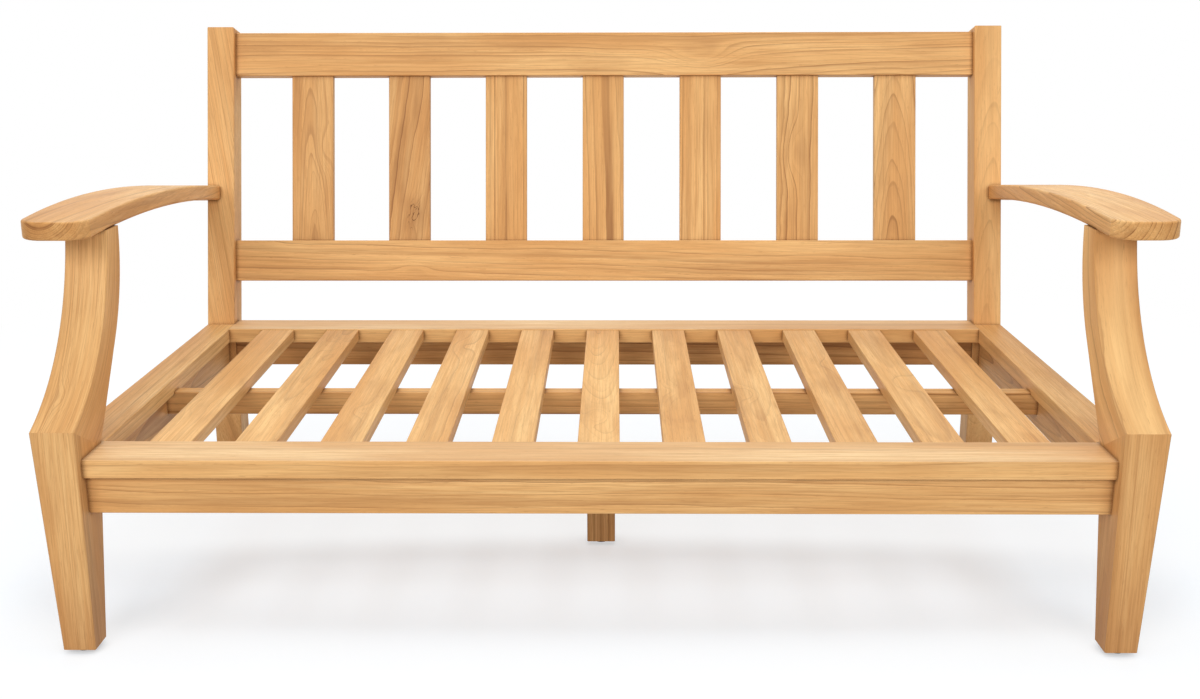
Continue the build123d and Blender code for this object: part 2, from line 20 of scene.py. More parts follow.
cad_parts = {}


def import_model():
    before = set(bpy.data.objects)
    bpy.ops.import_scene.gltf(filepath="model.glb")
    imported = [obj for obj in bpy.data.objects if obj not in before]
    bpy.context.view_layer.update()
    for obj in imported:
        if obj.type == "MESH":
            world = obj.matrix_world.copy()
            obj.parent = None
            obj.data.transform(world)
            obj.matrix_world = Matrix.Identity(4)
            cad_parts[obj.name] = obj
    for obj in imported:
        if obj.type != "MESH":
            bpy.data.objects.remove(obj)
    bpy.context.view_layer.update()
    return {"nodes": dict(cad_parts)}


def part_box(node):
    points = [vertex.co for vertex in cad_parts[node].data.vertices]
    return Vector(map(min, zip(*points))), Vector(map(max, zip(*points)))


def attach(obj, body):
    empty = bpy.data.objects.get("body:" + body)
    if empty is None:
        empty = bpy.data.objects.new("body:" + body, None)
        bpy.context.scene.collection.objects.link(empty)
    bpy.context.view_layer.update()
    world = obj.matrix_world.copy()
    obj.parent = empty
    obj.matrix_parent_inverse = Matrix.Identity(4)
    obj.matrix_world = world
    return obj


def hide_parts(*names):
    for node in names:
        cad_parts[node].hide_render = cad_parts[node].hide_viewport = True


LOG = logging.getLogger("loveseat")
BODY = "root"
MM = 0.001
X_AXIS = Vector((1, 0, 0))
Y_AXIS = Vector((0, 1, 0))
Z_AXIS = Vector((0, 0, 1))

Socket = bpy.types.NodeSocket
Node = bpy.types.Node
Material = bpy.types.Material
Nodes = dict[str, bpy.types.Object]
Feed = Socket | float | Sequence[float] | None
Triple = tuple[float, float, float]
Tint = tuple[float, float, float, float]
ScreenColour = tuple[int, int, int]
Profile = tuple[tuple[float, float], ...]

WHITE: Tint = (1.0, 1.0, 1.0, 1.0)
BLACK: Tint = (0.0, 0.0, 0.0, 1.0)
COOL: Triple = (0.88, 0.96, 1.0)
WARM: Triple = (1.0, 0.965, 0.92)
POST_BOW = 1.81
THREAD_STEPS = 6
THREAD_SHARPNESS = 1.6


def shade(red: int, green: int, blue: int) -> Tint:
    """Turn a screen colour into the linear colour that shaders take.

    Args:
        red: Red from 0 to 255.
        green: Green from 0 to 255.
        blue: Blue from 0 to 255.

    Returns:
        The linear colour with a full alpha.
    """
    steps = (channel / 255 for channel in (red, green, blue))
    linear = [s / 12.92 if s <= 0.04045 else ((s + 0.055) / 1.055) ** 2.4 for s in steps]
    return (linear[0], linear[1], linear[2], 1.0)


class Graph:
    """A node tree that is being wired, with short calls for common nodes."""

    def __init__(self, tree: bpy.types.NodeTree) -> None:
        """Keep the shader node tree that nodes are added to."""
        self.tree = tree

    def node(self, kind: str, **settings: object) -> Node:
        """Add a node.

        Args:
            kind: The node's type name in Blender.
            **settings: Attributes to set on the node.

        Returns:
            The new node.
        """
        made = self.tree.nodes.new(kind)
        for name, value in settings.items():
            setattr(made, name, value)
        return made

    def feed(self, socket: Socket, value: Feed) -> None:
        """Link a socket to another one, or set its own value.

        Args:
            socket: The input to feed.
            value: An output socket, a plain value, or None to leave the input as it is.
        """
        if isinstance(value, Socket):
            self.tree.links.new(value, socket)
        elif value is not None:
            socket.default_value = value

    def spot(self) -> Socket:
        """Return the place on the surface, in the object's own metres."""
        return self.node("ShaderNodeTexCoord").outputs["Object"]

    def split(self, place: Feed) -> Sequence[Socket]:
        """Part a place into its numbers.

        Args:
            place: A place or a direction.

        Returns:
            The numbers along X, Y and Z.
        """
        parted = self.node("ShaderNodeSeparateXYZ")
        self.feed(parted.inputs[0], place)
        return parted.outputs

    def math(self, operation: str, first: Feed, second: Feed = None, third: Feed = None) -> Socket:
        """Add a maths node.

        Args:
            operation: The node's operation, such as MULTIPLY.
            first: First operand.
            second: Second operand, where the operation has one.
            third: Third operand, where the operation has one.

        Returns:
            The result.
        """
        made = self.node("ShaderNodeMath", operation=operation)
        for socket, value in zip(made.inputs, (first, second, third)):
            self.feed(socket, value)
        return made.outputs[0]

    def product(self, first: Feed, second: Feed) -> Socket:
        """Return the product of two numbers."""
        return self.math("MULTIPLY", first, second)

    def vector(self, operation: str, first: Feed, second: Feed = None) -> Node:
        """Add a vector maths node.

        Args:
            operation: The node's operation, such as DOT_PRODUCT.
            first: First vector.
            second: Second vector.

        Returns:
            The node, because its results have different outputs.
        """
        made = self.node("ShaderNodeVectorMath", operation=operation)
        self.feed(made.inputs[0], first)
        self.feed(made.inputs[1], second)
        return made

    def noise(self, place: Feed, per_metre: Triple, detail: float = 2.0) -> Node:
        """Add smooth noise over a stretched place.

        Args:
            place: Where the noise is looked up, in metres.
            per_metre: Features per metre along each axis.
            detail: How many finer layers the noise has.

        Returns:
            The noise node, with its Fac and Color outputs.
        """
        made = self.node("ShaderNodeTexNoise")
        self.feed(made.inputs["Vector"], self.vector("MULTIPLY", place, per_metre).outputs[0])
        made.inputs["Scale"].default_value = 1.0
        made.inputs["Detail"].default_value = detail
        return made

    def step(self, value: Feed, low: float, high: float, start: float = 0.0, end: float = 1.0) -> Socket:
        """Add a smooth step.

        Args:
            value: The value to map.
            low: Where the step begins.
            high: Where the step ends.
            start: The result below low.
            end: The result above high.

        Returns:
            The stepped value.
        """
        made = self.node("ShaderNodeMapRange", interpolation_type="SMOOTHSTEP")
        for name, number in zip(("From Min", "From Max", "To Min", "To Max"), (low, high, start, end)):
            made.inputs[name].default_value = number
        self.feed(made.inputs["Value"], value)
        return made.outputs["Result"]

    def mix(self, share: Feed, first: Feed, second: Feed, blend: str = "MIX") -> Socket:
        """Add a colour mix.

        Args:
            share: How much of the second colour shows, from 0 to 1.
            first: First colour.
            second: Second colour.
            blend: The node's blend type.

        Returns:
            The mixed colour.
        """
        made = self.node("ShaderNodeMix", data_type="RGBA", blend_type=blend)
        factor, low, high = (made.inputs[i] for i in (0, 6, 7))
        self.feed(factor, share)
        self.feed(low, first)
        self.feed(high, second)
        return made.outputs[2]

    def tinted(self, colour: Feed, tint: Tint, share: Feed = 1.0) -> Socket:
        """Return a colour that is multiplied by a share of a tint."""
        return self.mix(share, colour, tint, "MULTIPLY")


class MaterialGraph(Graph):
    """The nodes of a new material, with its Principled shader at hand."""

    def __init__(self, name: str) -> None:
        """Make the material.

        Args:
            name: The material's name.
        """
        self.material = bpy.data.materials.new(name)
        self.material.use_nodes = True
        super().__init__(self.material.node_tree)
        self.shader = self.tree.nodes["Principled BSDF"]

    def give(self, label: str, value: Feed) -> None:
        """Feed one of the shader's inputs, or set its own value."""
        self.feed(self.shader.inputs[label], value)

    def bump(self, height: Feed, strength: float, depth: float) -> None:
        """Raise the surface.

        Args:
            height: The height, from 0 to 1.
            strength: How much of it shows.
            depth: What a height of 1 stands for, in metres.
        """
        made = self.node("ShaderNodeBump")
        made.inputs["Strength"].default_value = strength
        made.inputs["Distance"].default_value = depth
        self.feed(made.inputs["Height"], height)
        self.give("Normal", made.outputs["Normal"])


class GroupKit:
    """A shader node group with named inputs and outputs, built once."""

    def __init__(self, name: str, inputs: dict[str, object], outputs: dict[str, str]) -> None:
        """Make the group's tree and its sockets.

        Args:
            name: The group's name.
            inputs: Each input's default value by name: a number, a vector or a colour.
            outputs: Each output's socket type by name.
        """
        self.tree = bpy.data.node_groups.new(name, "ShaderNodeTree")
        for label, value in inputs.items():
            length = len(value) if isinstance(value, tuple) else 1
            kind = {1: "NodeSocketFloat", 3: "NodeSocketVector", 4: "NodeSocketColor"}[length]
            socket = self.tree.interface.new_socket(name=label, in_out="INPUT", socket_type=kind)
            socket.default_value = value
        for label, kind in outputs.items():
            self.tree.interface.new_socket(name=label, in_out="OUTPUT", socket_type=kind)
        self.graph = Graph(self.tree)
        self.inputs = self.graph.node("NodeGroupInput").outputs
        self.outputs = self.graph.node("NodeGroupOutput").inputs

    def put_out(self, label: str, value: Feed) -> None:
        """Feed one of the group's outputs."""
        self.graph.feed(self.outputs[label], value)

    def place(self, graph: Graph, values: dict[str, Feed]) -> Node:
        """Place the group in a material.

        Args:
            graph: The material's graph.
            values: What each named input gets.

        Returns:
            The group node in the material.
        """
        made = graph.node("ShaderNodeGroup", node_tree=self.tree)
        for label, value in values.items():
            graph.feed(made.inputs[label], value)
        return made


class Sawn(Enum):
    """How a board lies in its log: pith across and in depth in metres, and the grain's slope."""

    FLAT = (0.004, -0.046, 0.030)
    CROWN = (0.002, -0.030, 0.085)
    RIFT = (0.055, -0.060, 0.012)
    LEANING = (-0.080, -0.060, 0.010)
    QUARTER = (0.120, -0.012, 0.008)


@dataclass(frozen=True)
class Knot:
    """A knot, or a swelling of the grain round one: its place from the board's middle and its size."""

    along: float = 0.0
    across: float = 0.0
    size: float = 0.0
    heart: float = 0.0


@dataclass(frozen=True)
class Look:
    """How one board's figure looks.

    Lengths are in metres, and the bow is the depth gained per squared metre along the grain. A positive
    tone is darker. Flip puts the pith on the other side, and upended turns the grain's slope round.
    """

    sawn: Sawn = Sawn.RIFT
    tone: float = 0.0
    ring_width: float = 4.6 * MM
    ring_contrast: float = 0.6
    streaks: float = 0.7
    blotch: float = 0.15
    wander: float = 5 * MM
    wiggle: float = 0.6 * MM
    flip: bool = False
    upended: bool = False
    slant_deg: float = 0.0
    bow: float = 0.0
    # Painted sheen: how much paler and greyer the faces that look upwards are made.
    top_sheen: float = 0.0
    sway_share: float = 0.3
    knot: Knot = Knot()

    def values(self) -> dict[str, Feed]:
        """Turn the look into the teak figure's terms.

        Returns:
            What the figure's inputs get, by name.
        """
        pith_across, pith_depth, tilt = self.sawn.value
        side = -1.0 if self.flip else 1.0
        tilt *= -side if self.upended else side
        return {
            "Pith Across": side * pith_across,
            "Pith Depth": side * pith_depth,
            "Sway": self.sway_share * tilt,
            "Tilt": tilt,
            "Bow": self.bow,
            "Ring Width": self.ring_width,
            "Wander": self.wander,
            "Wiggle": self.wiggle,
            "Ring Contrast": self.ring_contrast,
            "Streak Contrast": self.streaks,
            "Blotch": self.blotch,
            "Top Sheen": self.top_sheen,
            "Knot Along": self.knot.along,
            "Knot Across": self.knot.across,
            "Knot Size": self.knot.size,
            "Knot Heart": self.knot.heart,
        }


@dataclass(frozen=True)
class Layer:
    """One layer of noise in the wood, made into a mask by a smooth step."""

    seed_share: float
    per_metre: Triple
    low: float
    high: float
    detail: float = 2.0
    start: float = 0.0


class TeakFigure(GroupKit):
    """Growth rings, fibres, pores, blotches and one knot of a sawn teak board, as a solid figure, with
    painted sheen on faces that look upwards.
    """

    MOTTLE = Layer(0.31, (2.4, 17.0, 17.0), 0.3, 0.7)
    STREAKS = Layer(0.57, (4.0, 210.0, 210.0), 0.38, 0.66, 3.0)
    FIBRES = Layer(0.67, (16.0, 620.0, 620.0), 0.4, 0.66)
    BANDS = Layer(0.91, (1.3, 62.0, 62.0), 0.5, 0.74, 1.0)
    PORES = Layer(0.17, (70.0, 1300.0, 1300.0), 0.6, 0.72, 1.0)
    CLOUDS = Layer(0.83, (7.0, 24.0, 24.0), 0.48, 0.7, 3.0)
    BREAKS = Layer(0.43, (3.5, 36.0, 36.0), 0.3, 0.56, start=0.4)
    # Other noise: how the seed moves it, and its features per metre.
    BROAD_SWERVE = (0.73, (1.7, 10.0, 10.0))
    FINE_SWERVE = (0.37, (15.0, 26.0, 26.0))
    BARK_LINES = (0.29, (55.0, 110.0, 110.0))
    SWERVE_GAIN = 3.0
    KNOT_STRETCH = 2.4
    KNOT_SWELL = 0.9
    SMALLEST_KNOT = 0.5 * MM
    LEAST_DIVISOR = 0.1 * MM
    UNEVENNESS = 2.6
    CHANGES_PER_RING = 0.45
    # Smooth steps: where each begins and ends, then its results there, if not 0 and 1.
    RING_EDGE = (0.95, 1.0, 1.0, 0.0)
    RING_RAMP = (0.2, 0.94, 0.0, 0.42)
    RING_LINE = (0.78, 0.92, 0.0, 0.58)
    RING_STRENGTH = (0.15, 1.0, 0.16, 1.0)
    EARLY_PORES = (0.0, 0.5, 1.0, 0.35)
    KNOT_HALO = (0.05, 0.9, 0.0, 0.35)
    KNOT_HEART = (0.35, 0.7)
    BARK_CRACK = (0.006, 0.03, 1.0, 0.0)
    END_GRAIN = (0.55, 0.9)
    FACING_UP = (0.6, 0.97)
    END_RING_GAIN = 0.9
    WARM_STREAKS = 0.6
    WARM_FIBRES = 0.4
    BROWN_BANDS = 0.3
    BROWN_FIBRES = 0.2
    BROWN_PORES = 0.38
    BARK_TINT = (0.5, 0.42, 0.38, 1.0)
    TOP_SHEEN_TINT = (0.957, 1.05, 1.3, 1.0)
    END_TINT = (0.88, 0.82, 0.74, 1.0)
    SANDED_ROUGHNESS = 0.47
    PORE_ROUGHNESS = 0.12
    STREAK_ROUGHNESS = 0.06
    END_ROUGHNESS = 0.14
    PORE_HEIGHT = -0.6
    RING_HEIGHT = -0.35
    STREAK_HEIGHT = -0.2

    def __init__(self) -> None:
        """Wire the whole figure."""
        super().__init__(
            "teak_figure",
            {
                "Origin": (0.0, 0.0, 0.0),
                "Along": (1.0, 0.0, 0.0),
                "Across": (0.0, 1.0, 0.0),
                **Look().values(),
                "Seed": 0.0,
                "Pale Wood": shade(236, 190, 140),
                "Warm Wood": shade(216, 162, 106),
                "Ring Brown": shade(166, 112, 66),
            },
            {"Color": "NodeSocketColor", "Roughness": "NodeSocketFloat", "Height": "NodeSocketFloat"},
        )
        self.board = self._board_space()
        self.along, self.across, self.depth = self.graph.split(self.board)
        self.knot = self._knot()
        self.phase, self.ring_tone = self._rings()
        self._colour()

    def _board_space(self) -> Socket:
        """Find the place in the board.

        Returns:
            The place along the grain, across it and into the board's bowed depth.
        """
        graph, given = self.graph, self.inputs
        spot = graph.vector("SUBTRACT", graph.spot(), given["Origin"]).outputs[0]
        inwards = graph.vector("CROSS_PRODUCT", given["Along"], given["Across"]).outputs[0]
        along, across, depth = (
            graph.vector("DOT_PRODUCT", spot, axis).outputs["Value"]
            for axis in (given["Along"], given["Across"], inwards)
        )
        depth = graph.math("MULTIPLY_ADD", graph.product(along, along), given["Bow"], depth)
        joined = graph.node("ShaderNodeCombineXYZ")
        for socket, value in zip(joined.inputs, (along, across, depth)):
            graph.feed(socket, value)
        return joined.outputs[0]

    def _seeded(self, share: float) -> Socket:
        """Return the place in the board moved by a share of its seed, so that no two boards match."""
        shift = self.graph.product(self.inputs["Seed"], share)
        return self.graph.vector("ADD", self.board, shift).outputs[0]

    def _layer(self, layer: Layer) -> Socket:
        """Return a layer's mask."""
        noise = self.graph.noise(self._seeded(layer.seed_share), layer.per_metre, layer.detail)
        return self.graph.step(noise.outputs["Fac"], layer.low, layer.high, layer.start)

    def _swerve(self, seed_share: float, per_metre: Triple, limit: Socket) -> Sequence[Socket]:
        """Bend the rings sideways.

        Args:
            seed_share: How the seed moves the noise.
            per_metre: Features per metre along each axis.
            limit: About how far the rings may stray, in metres.

        Returns:
            How far they stray, as signed lengths along each axis.
        """
        graph = self.graph
        drift = graph.noise(self._seeded(seed_share), per_metre).outputs["Color"]
        drift = graph.vector("SUBTRACT", drift, (0.5, 0.5, 0.5)).outputs[0]
        scaled = graph.node("ShaderNodeVectorMath", operation="SCALE")
        graph.feed(scaled.inputs[0], drift)
        graph.feed(scaled.inputs["Scale"], graph.product(limit, self.SWERVE_GAIN))
        return graph.split(scaled.outputs[0])

    def _knot(self) -> Socket:
        """Wire the knot's bump.

        Returns:
            A bump that is 1 at the knot's heart and fades round it.
        """
        graph, given = self.graph, self.inputs
        size = graph.math("MAXIMUM", given["Knot Size"], self.LEAST_DIVISOR)
        far_along = graph.math("SUBTRACT", self.along, given["Knot Along"])
        far_along = graph.math("DIVIDE", far_along, graph.product(size, self.KNOT_STRETCH))
        far_across = graph.math("SUBTRACT", self.across, given["Knot Across"])
        far_across = graph.math("DIVIDE", far_across, size)
        squared = graph.math("MULTIPLY_ADD", far_across, far_across, graph.product(far_along, far_along))
        bump = graph.math("EXPONENT", graph.product(squared, -1.0))
        return graph.product(bump, graph.math("GREATER_THAN", given["Knot Size"], self.SMALLEST_KNOT))

    def _rings(self) -> tuple[Socket, Socket]:
        """Wire the growth rings.

        Returns:
            The phase within a ring from 0 to 1, and a tone from 0 to 1 that differs by ring.
        """
        graph, given = self.graph, self.inputs
        broad = self._swerve(*self.BROAD_SWERVE, given["Wander"])
        fine = self._swerve(*self.FINE_SWERVE, given["Wiggle"])
        sides = []
        for part, place, pith, slope in (
            (0, self.across, given["Pith Across"], given["Sway"]),
            (1, self.depth, given["Pith Depth"], given["Tilt"]),
        ):
            side = graph.math("SUBTRACT", place, pith)
            side = graph.math("SUBTRACT", side, graph.product(slope, self.along))
            side = graph.math("ADD", side, broad[part])
            sides.append(graph.math("ADD", side, fine[part]))
        radius = graph.math("MULTIPLY_ADD", sides[1], sides[1], graph.product(sides[0], sides[0]))
        radius = graph.math("SQRT", radius)
        swell = graph.product(given["Knot Size"], self.KNOT_SWELL)
        radius = graph.math("MULTIPLY_ADD", self.knot, swell, radius)
        count = graph.math("DIVIDE", radius, given["Ring Width"])
        uneven = graph.node("ShaderNodeTexNoise", noise_dimensions="1D")
        uneven.inputs["Detail"].default_value = 1.0
        uneven.inputs["Scale"].default_value = self.CHANGES_PER_RING
        graph.feed(uneven.inputs["W"], graph.math("ADD", count, given["Seed"]))
        count = graph.math("MULTIPLY_ADD", uneven.outputs["Fac"], self.UNEVENNESS, count)
        tone = graph.node("ShaderNodeTexWhiteNoise", noise_dimensions="1D")
        graph.feed(tone.inputs["W"], graph.math("FLOOR", count))
        return graph.math("FRACT", count), tone.outputs["Value"]

    def _late_wood(self) -> Socket:
        """Wire a ring's late wood: a soft ramp that ends in a thin, broken line.

        Returns:
            How much of the ring's brown shows.
        """
        graph = self.graph
        shapes = (self.RING_RAMP, self.RING_LINE, self.RING_EDGE)
        ramp, line, edge = (graph.step(self.phase, *shape) for shape in shapes)
        late = graph.product(graph.math("ADD", ramp, line), edge)
        strength = graph.step(self.ring_tone, *self.RING_STRENGTH)
        strength = graph.product(strength, self._layer(self.BREAKS))
        return graph.product(graph.product(late, strength), self.inputs["Ring Contrast"])

    def _drawn(self, colour: Socket, mask: Socket, share: float, drawn_in: str) -> Socket:
        """Return the colour with a share of a mask drawn in one of the wood's named colours."""
        shown = self.graph.product(self.graph.product(mask, self.inputs["Streak Contrast"]), share)
        return self.graph.mix(shown, colour, self.inputs[drawn_in])

    def _colour(self) -> None:
        """Mix the wood's colours and feed the group's outputs."""
        graph, given = self.graph, self.inputs
        facing = graph.node("ShaderNodeNewGeometry").outputs["True Normal"]
        ends = graph.vector("DOT_PRODUCT", facing, given["Along"]).outputs["Value"]
        ends = graph.step(graph.math("ABSOLUTE", ends), *self.END_GRAIN)
        ring = graph.product(self._late_wood(), graph.math("MULTIPLY_ADD", ends, self.END_RING_GAIN, 1.0))
        streaks, fibres, bands = (self._layer(layer) for layer in (self.STREAKS, self.FIBRES, self.BANDS))
        pores = graph.product(self._layer(self.PORES), graph.step(self.phase, *self.EARLY_PORES))
        clouds = graph.product(self._layer(self.CLOUDS), given["Blotch"])
        colour = graph.mix(self._layer(self.MOTTLE), given["Pale Wood"], given["Warm Wood"])
        colour = self._drawn(colour, streaks, self.WARM_STREAKS, "Warm Wood")
        colour = self._drawn(colour, fibres, self.WARM_FIBRES, "Warm Wood")
        between = graph.mix(0.5, given["Warm Wood"], given["Ring Brown"])
        colour = graph.mix(clouds, colour, between)
        colour = graph.mix(ring, colour, given["Ring Brown"])
        colour = self._drawn(colour, bands, self.BROWN_BANDS, "Ring Brown")
        colour = self._drawn(colour, fibres, self.BROWN_FIBRES, "Ring Brown")
        colour = graph.mix(graph.product(pores, self.BROWN_PORES), colour, given["Ring Brown"])
        colour = self._stain(colour)
        # Painted sheen: faces that look upwards are made paler and greyer, standing in for the light's
        # sheen on the tops.
        upwards = graph.step(graph.split(facing)[2], *self.FACING_UP)
        colour = graph.tinted(colour, self.TOP_SHEEN_TINT, graph.product(upwards, given["Top Sheen"]))
        self.put_out("Color", graph.mix(ends, colour, graph.tinted(colour, self.END_TINT)))
        rough = graph.math("MULTIPLY_ADD", pores, self.PORE_ROUGHNESS, self.SANDED_ROUGHNESS)
        rough = graph.math("MULTIPLY_ADD", streaks, self.STREAK_ROUGHNESS, rough)
        self.put_out("Roughness", graph.math("MULTIPLY_ADD", ends, self.END_ROUGHNESS, rough))
        height = graph.math("MULTIPLY_ADD", pores, self.PORE_HEIGHT, 1.0)
        height = graph.math("MULTIPLY_ADD", ring, self.RING_HEIGHT, height)
        self.put_out("Height", graph.math("MULTIPLY_ADD", streaks, self.STREAK_HEIGHT, height))

    def _stain(self, colour: Socket) -> Socket:
        """Stain the wood round the knot, with crooked bark lines in its heart.

        Args:
            colour: The wood's colour.

        Returns:
            The stained colour.
        """
        graph, given = self.graph, self.inputs
        halo = graph.product(graph.step(self.knot, *self.KNOT_HALO), given["Knot Heart"])
        colour = graph.mix(halo, colour, given["Ring Brown"])
        seed_share, per_metre = self.BARK_LINES
        crooked = graph.noise(self._seeded(seed_share), per_metre).outputs["Fac"]
        crooked = graph.math("ABSOLUTE", graph.math("SUBTRACT", crooked, 0.5))
        crooked = graph.step(crooked, *self.BARK_CRACK)
        heart = graph.product(graph.step(self.knot, *self.KNOT_HEART), crooked)
        bark = graph.tinted(given["Ring Brown"], self.BARK_TINT)
        return graph.mix(graph.product(heart, given["Knot Heart"]), colour, bark)


class PaintedShade(GroupKit):
    """Paints shade into the wood: darker where ambient occlusion finds joints, crevices and overhangs,
    and darker towards the floor.
    """

    SAMPLES = 6
    CLOSED = (0.35, 0.9, 1.0, 0.0)
    JOINT_SHADE_TINT = (0.3, 0.2, 0.13, 1.0)
    FOOT_SHADE_HEIGHT = 0.17
    FOOT_SHADE_TINT = (0.84, 0.79, 0.77, 1.0)

    def __init__(self) -> None:
        """Wire the shade."""
        super().__init__(
            "painted_shade",
            {"Color": (0.5, 0.5, 0.5, 1.0), "Reach": 0.009, "Strength": 0.95, "Foot Shade": 1.0},
            {"Color": "NodeSocketColor"},
        )
        graph, given = self.graph, self.inputs
        # Painted shade: wood that ambient occlusion finds closed in, in joints, crevices and under
        # overhangs, is darkened.
        open_share = graph.node("ShaderNodeAmbientOcclusion", samples=self.SAMPLES)
        graph.feed(open_share.inputs["Distance"], given["Reach"])
        closed = graph.product(graph.step(open_share.outputs["AO"], *self.CLOSED), given["Strength"])
        colour = graph.mix(closed, given["Color"], graph.tinted(given["Color"], self.JOINT_SHADE_TINT))
        # Painted shade: wood is made darker towards the floor, over the lowest 0.17 m.
        height = graph.split(graph.spot())[2]
        foot_shade = graph.product(graph.step(height, 0.0, self.FOOT_SHADE_HEIGHT, 1.0, 0.0), given["Foot Shade"])
        self.put_out("Color", graph.tinted(colour, self.FOOT_SHADE_TINT, foot_shade))


@dataclass(frozen=True)
class Board:
    """Where a board's grain runs, and how it looks."""

    origin: Vector
    along: Vector
    across: Vector
    look: Look


@dataclass(frozen=True)
class TeakFinish:
    """Sanded and oiled teak: the wood's colours and its sheen."""

    pale: ScreenColour = (241, 196, 134)
    warm: ScreenColour = (219, 163, 101)
    brown: ScreenColour = (148, 98, 56)
    tone_shares: Triple = (0.75, 1.0, 1.15)
    seed_limit: float = 40.0
    specular: float = 0.18
    bump: float = 0.25
    bump_depth: float = 0.15 * MM

    def material(self, name: str, board: Board, figure: TeakFigure, seams: PaintedShade) -> Material:
        """Make one board's material.

        Args:
            name: The board's node name, which also seeds its figure.
            board: Where its grain runs, and how it looks.
            figure: The teak figure group.
            seams: The painted shade group.

        Returns:
            The material.
        """
        graph = MaterialGraph(f"teak_{name}")
        place = {
            "Origin": board.origin,
            "Along": board.along,
            "Across": board.across,
            "Seed": random.Random(name).uniform(0, self.seed_limit),
        }
        colours = {
            "Pale Wood": self._toned(self.pale, board.look.tone),
            "Warm Wood": self._toned(self.warm, board.look.tone),
            "Ring Brown": self._toned(self.brown, board.look.tone),
        }
        wood = figure.place(graph, place | board.look.values() | colours)
        seam = seams.place(graph, {"Color": wood.outputs["Color"]})
        graph.give("Base Color", seam.outputs["Color"])
        graph.give("Roughness", wood.outputs["Roughness"])
        graph.give("Specular IOR Level", self.specular)
        graph.bump(wood.outputs["Height"], self.bump, self.bump_depth)
        return graph.material

    def _toned(self, colour: ScreenColour, tone: float) -> Tint:
        """Return a colour made darker and redder by a positive tone, or paler by a negative one."""
        parts = zip(shade(*colour), self.tone_shares)
        return (*(part * (1 - share * tone) for part, share in parts), 1.0)


def dress_all(nodes: Nodes, names: Iterable[str], material: Material) -> None:
    """Give several nodes one material.

    Args:
        nodes: The frame's nodes by name.
        names: Which of them to dress.
        material: What they get.
    """
    for name in names:
        nodes[name].data.materials.clear()
        nodes[name].data.materials.append(material)
        LOG.info("dressed %s", name)


def middle(node: str) -> Vector:
    """Return the middle of a node's box."""
    low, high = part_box(node)
    return (low + high) / 2


@dataclass
class Timber:
    """Cuts every board of the loveseat from the same wood."""

    finish: TeakFinish
    figure: TeakFigure
    seams: PaintedShade
    nodes: Nodes

    def dress(self, node: str, along: Vector, across: Vector, look: Look) -> None:
        """Give a node its own material.

        Args:
            node: The node's name.
            along: Direction of its grain.
            across: Direction across its broad face.
            look: How its figure looks.
        """
        slant = Matrix.Rotation(math.radians(look.slant_deg), 3, along.cross(across))
        board = Board(middle(node), slant @ along, slant @ across, look)
        dress_all(self.nodes, [node], self.finish.material(node, board, self.figure, self.seams))


@dataclass
class ReclinedBack:
    """The slatted back: two rails, seven slats and the bent posts that hold them."""

    timber: Timber
    lower_rail: Look = Look(
        ring_contrast=0.7, wander=6 * MM, ring_width=6.5 * MM, slant_deg=-0.8,
        knot=Knot(-0.33, -0.02, 11 * MM),
    )
    top_rail: Look = Look(
        tone=0.05, ring_contrast=0.85, wander=9 * MM, ring_width=6 * MM, blotch=0.25, flip=True,
        knot=Knot(0.17, -0.008, 24 * MM),
    )
    slats: tuple[Look, ...] = (
        Look(
            Sawn.CROWN, 0.09, ring_contrast=0.42, blotch=0.5, wiggle=1.4 * MM, upended=True,
            knot=Knot(0.02, 0.02, 14 * MM),
        ),
        Look(
            Sawn.RIFT, 0.16, ring_contrast=0.9, blotch=0.5, wiggle=1.2 * MM, wander=9 * MM, flip=True,
            slant_deg=7.0, knot=Knot(-0.095, 0.02, 13 * MM, 0.9),
        ),
        Look(Sawn.QUARTER, -0.04, 9.5 * MM, 1.0, 1.0, wander=2.5 * MM, wiggle=0.3 * MM),
        Look(Sawn.RIFT, -0.04, 13 * MM, 0.8, wander=8 * MM, wiggle=1.0 * MM),
        Look(Sawn.QUARTER, -0.03, 12 * MM, 0.9, 0.9, wander=2.5 * MM, wiggle=0.3 * MM),
        Look(
            Sawn.RIFT, 0.02, 5.4 * MM, 1.0, blotch=0.3, wiggle=1.4 * MM, flip=True,
            knot=Knot(0.01, -0.004, 17 * MM),
        ),
        Look(Sawn.CROWN, 0.04, 4.6 * MM, 0.65, blotch=0.3, wiggle=1.2 * MM, flip=True, upended=True),
    )
    left_post: Look = Look(Sawn.RIFT, -0.02, 5 * MM, 0.5, 0.8, slant_deg=-10.0)
    right_post: Look = Look(Sawn.CROWN, -0.02, 5 * MM, 0.3, 0.5, wiggle=1.2 * MM)

    def dress(self) -> None:
        """Dress the rails, the slats and the posts."""
        slope = (middle("top_back_rail") - middle("lower_back_rail")).normalized()
        self.timber.dress("lower_back_rail", X_AXIS, slope, self.lower_rail)
        self.timber.dress("top_back_rail", X_AXIS, slope, self.top_rail)
        for number, look in enumerate(self.slats, start=1):
            self.timber.dress(f"back_slat_{number}", slope, X_AXIS, look)
        self.timber.dress("back_post_left", slope, X_AXIS, self.left_post)
        self.timber.dress("back_post_right", slope, X_AXIS, self.right_post)


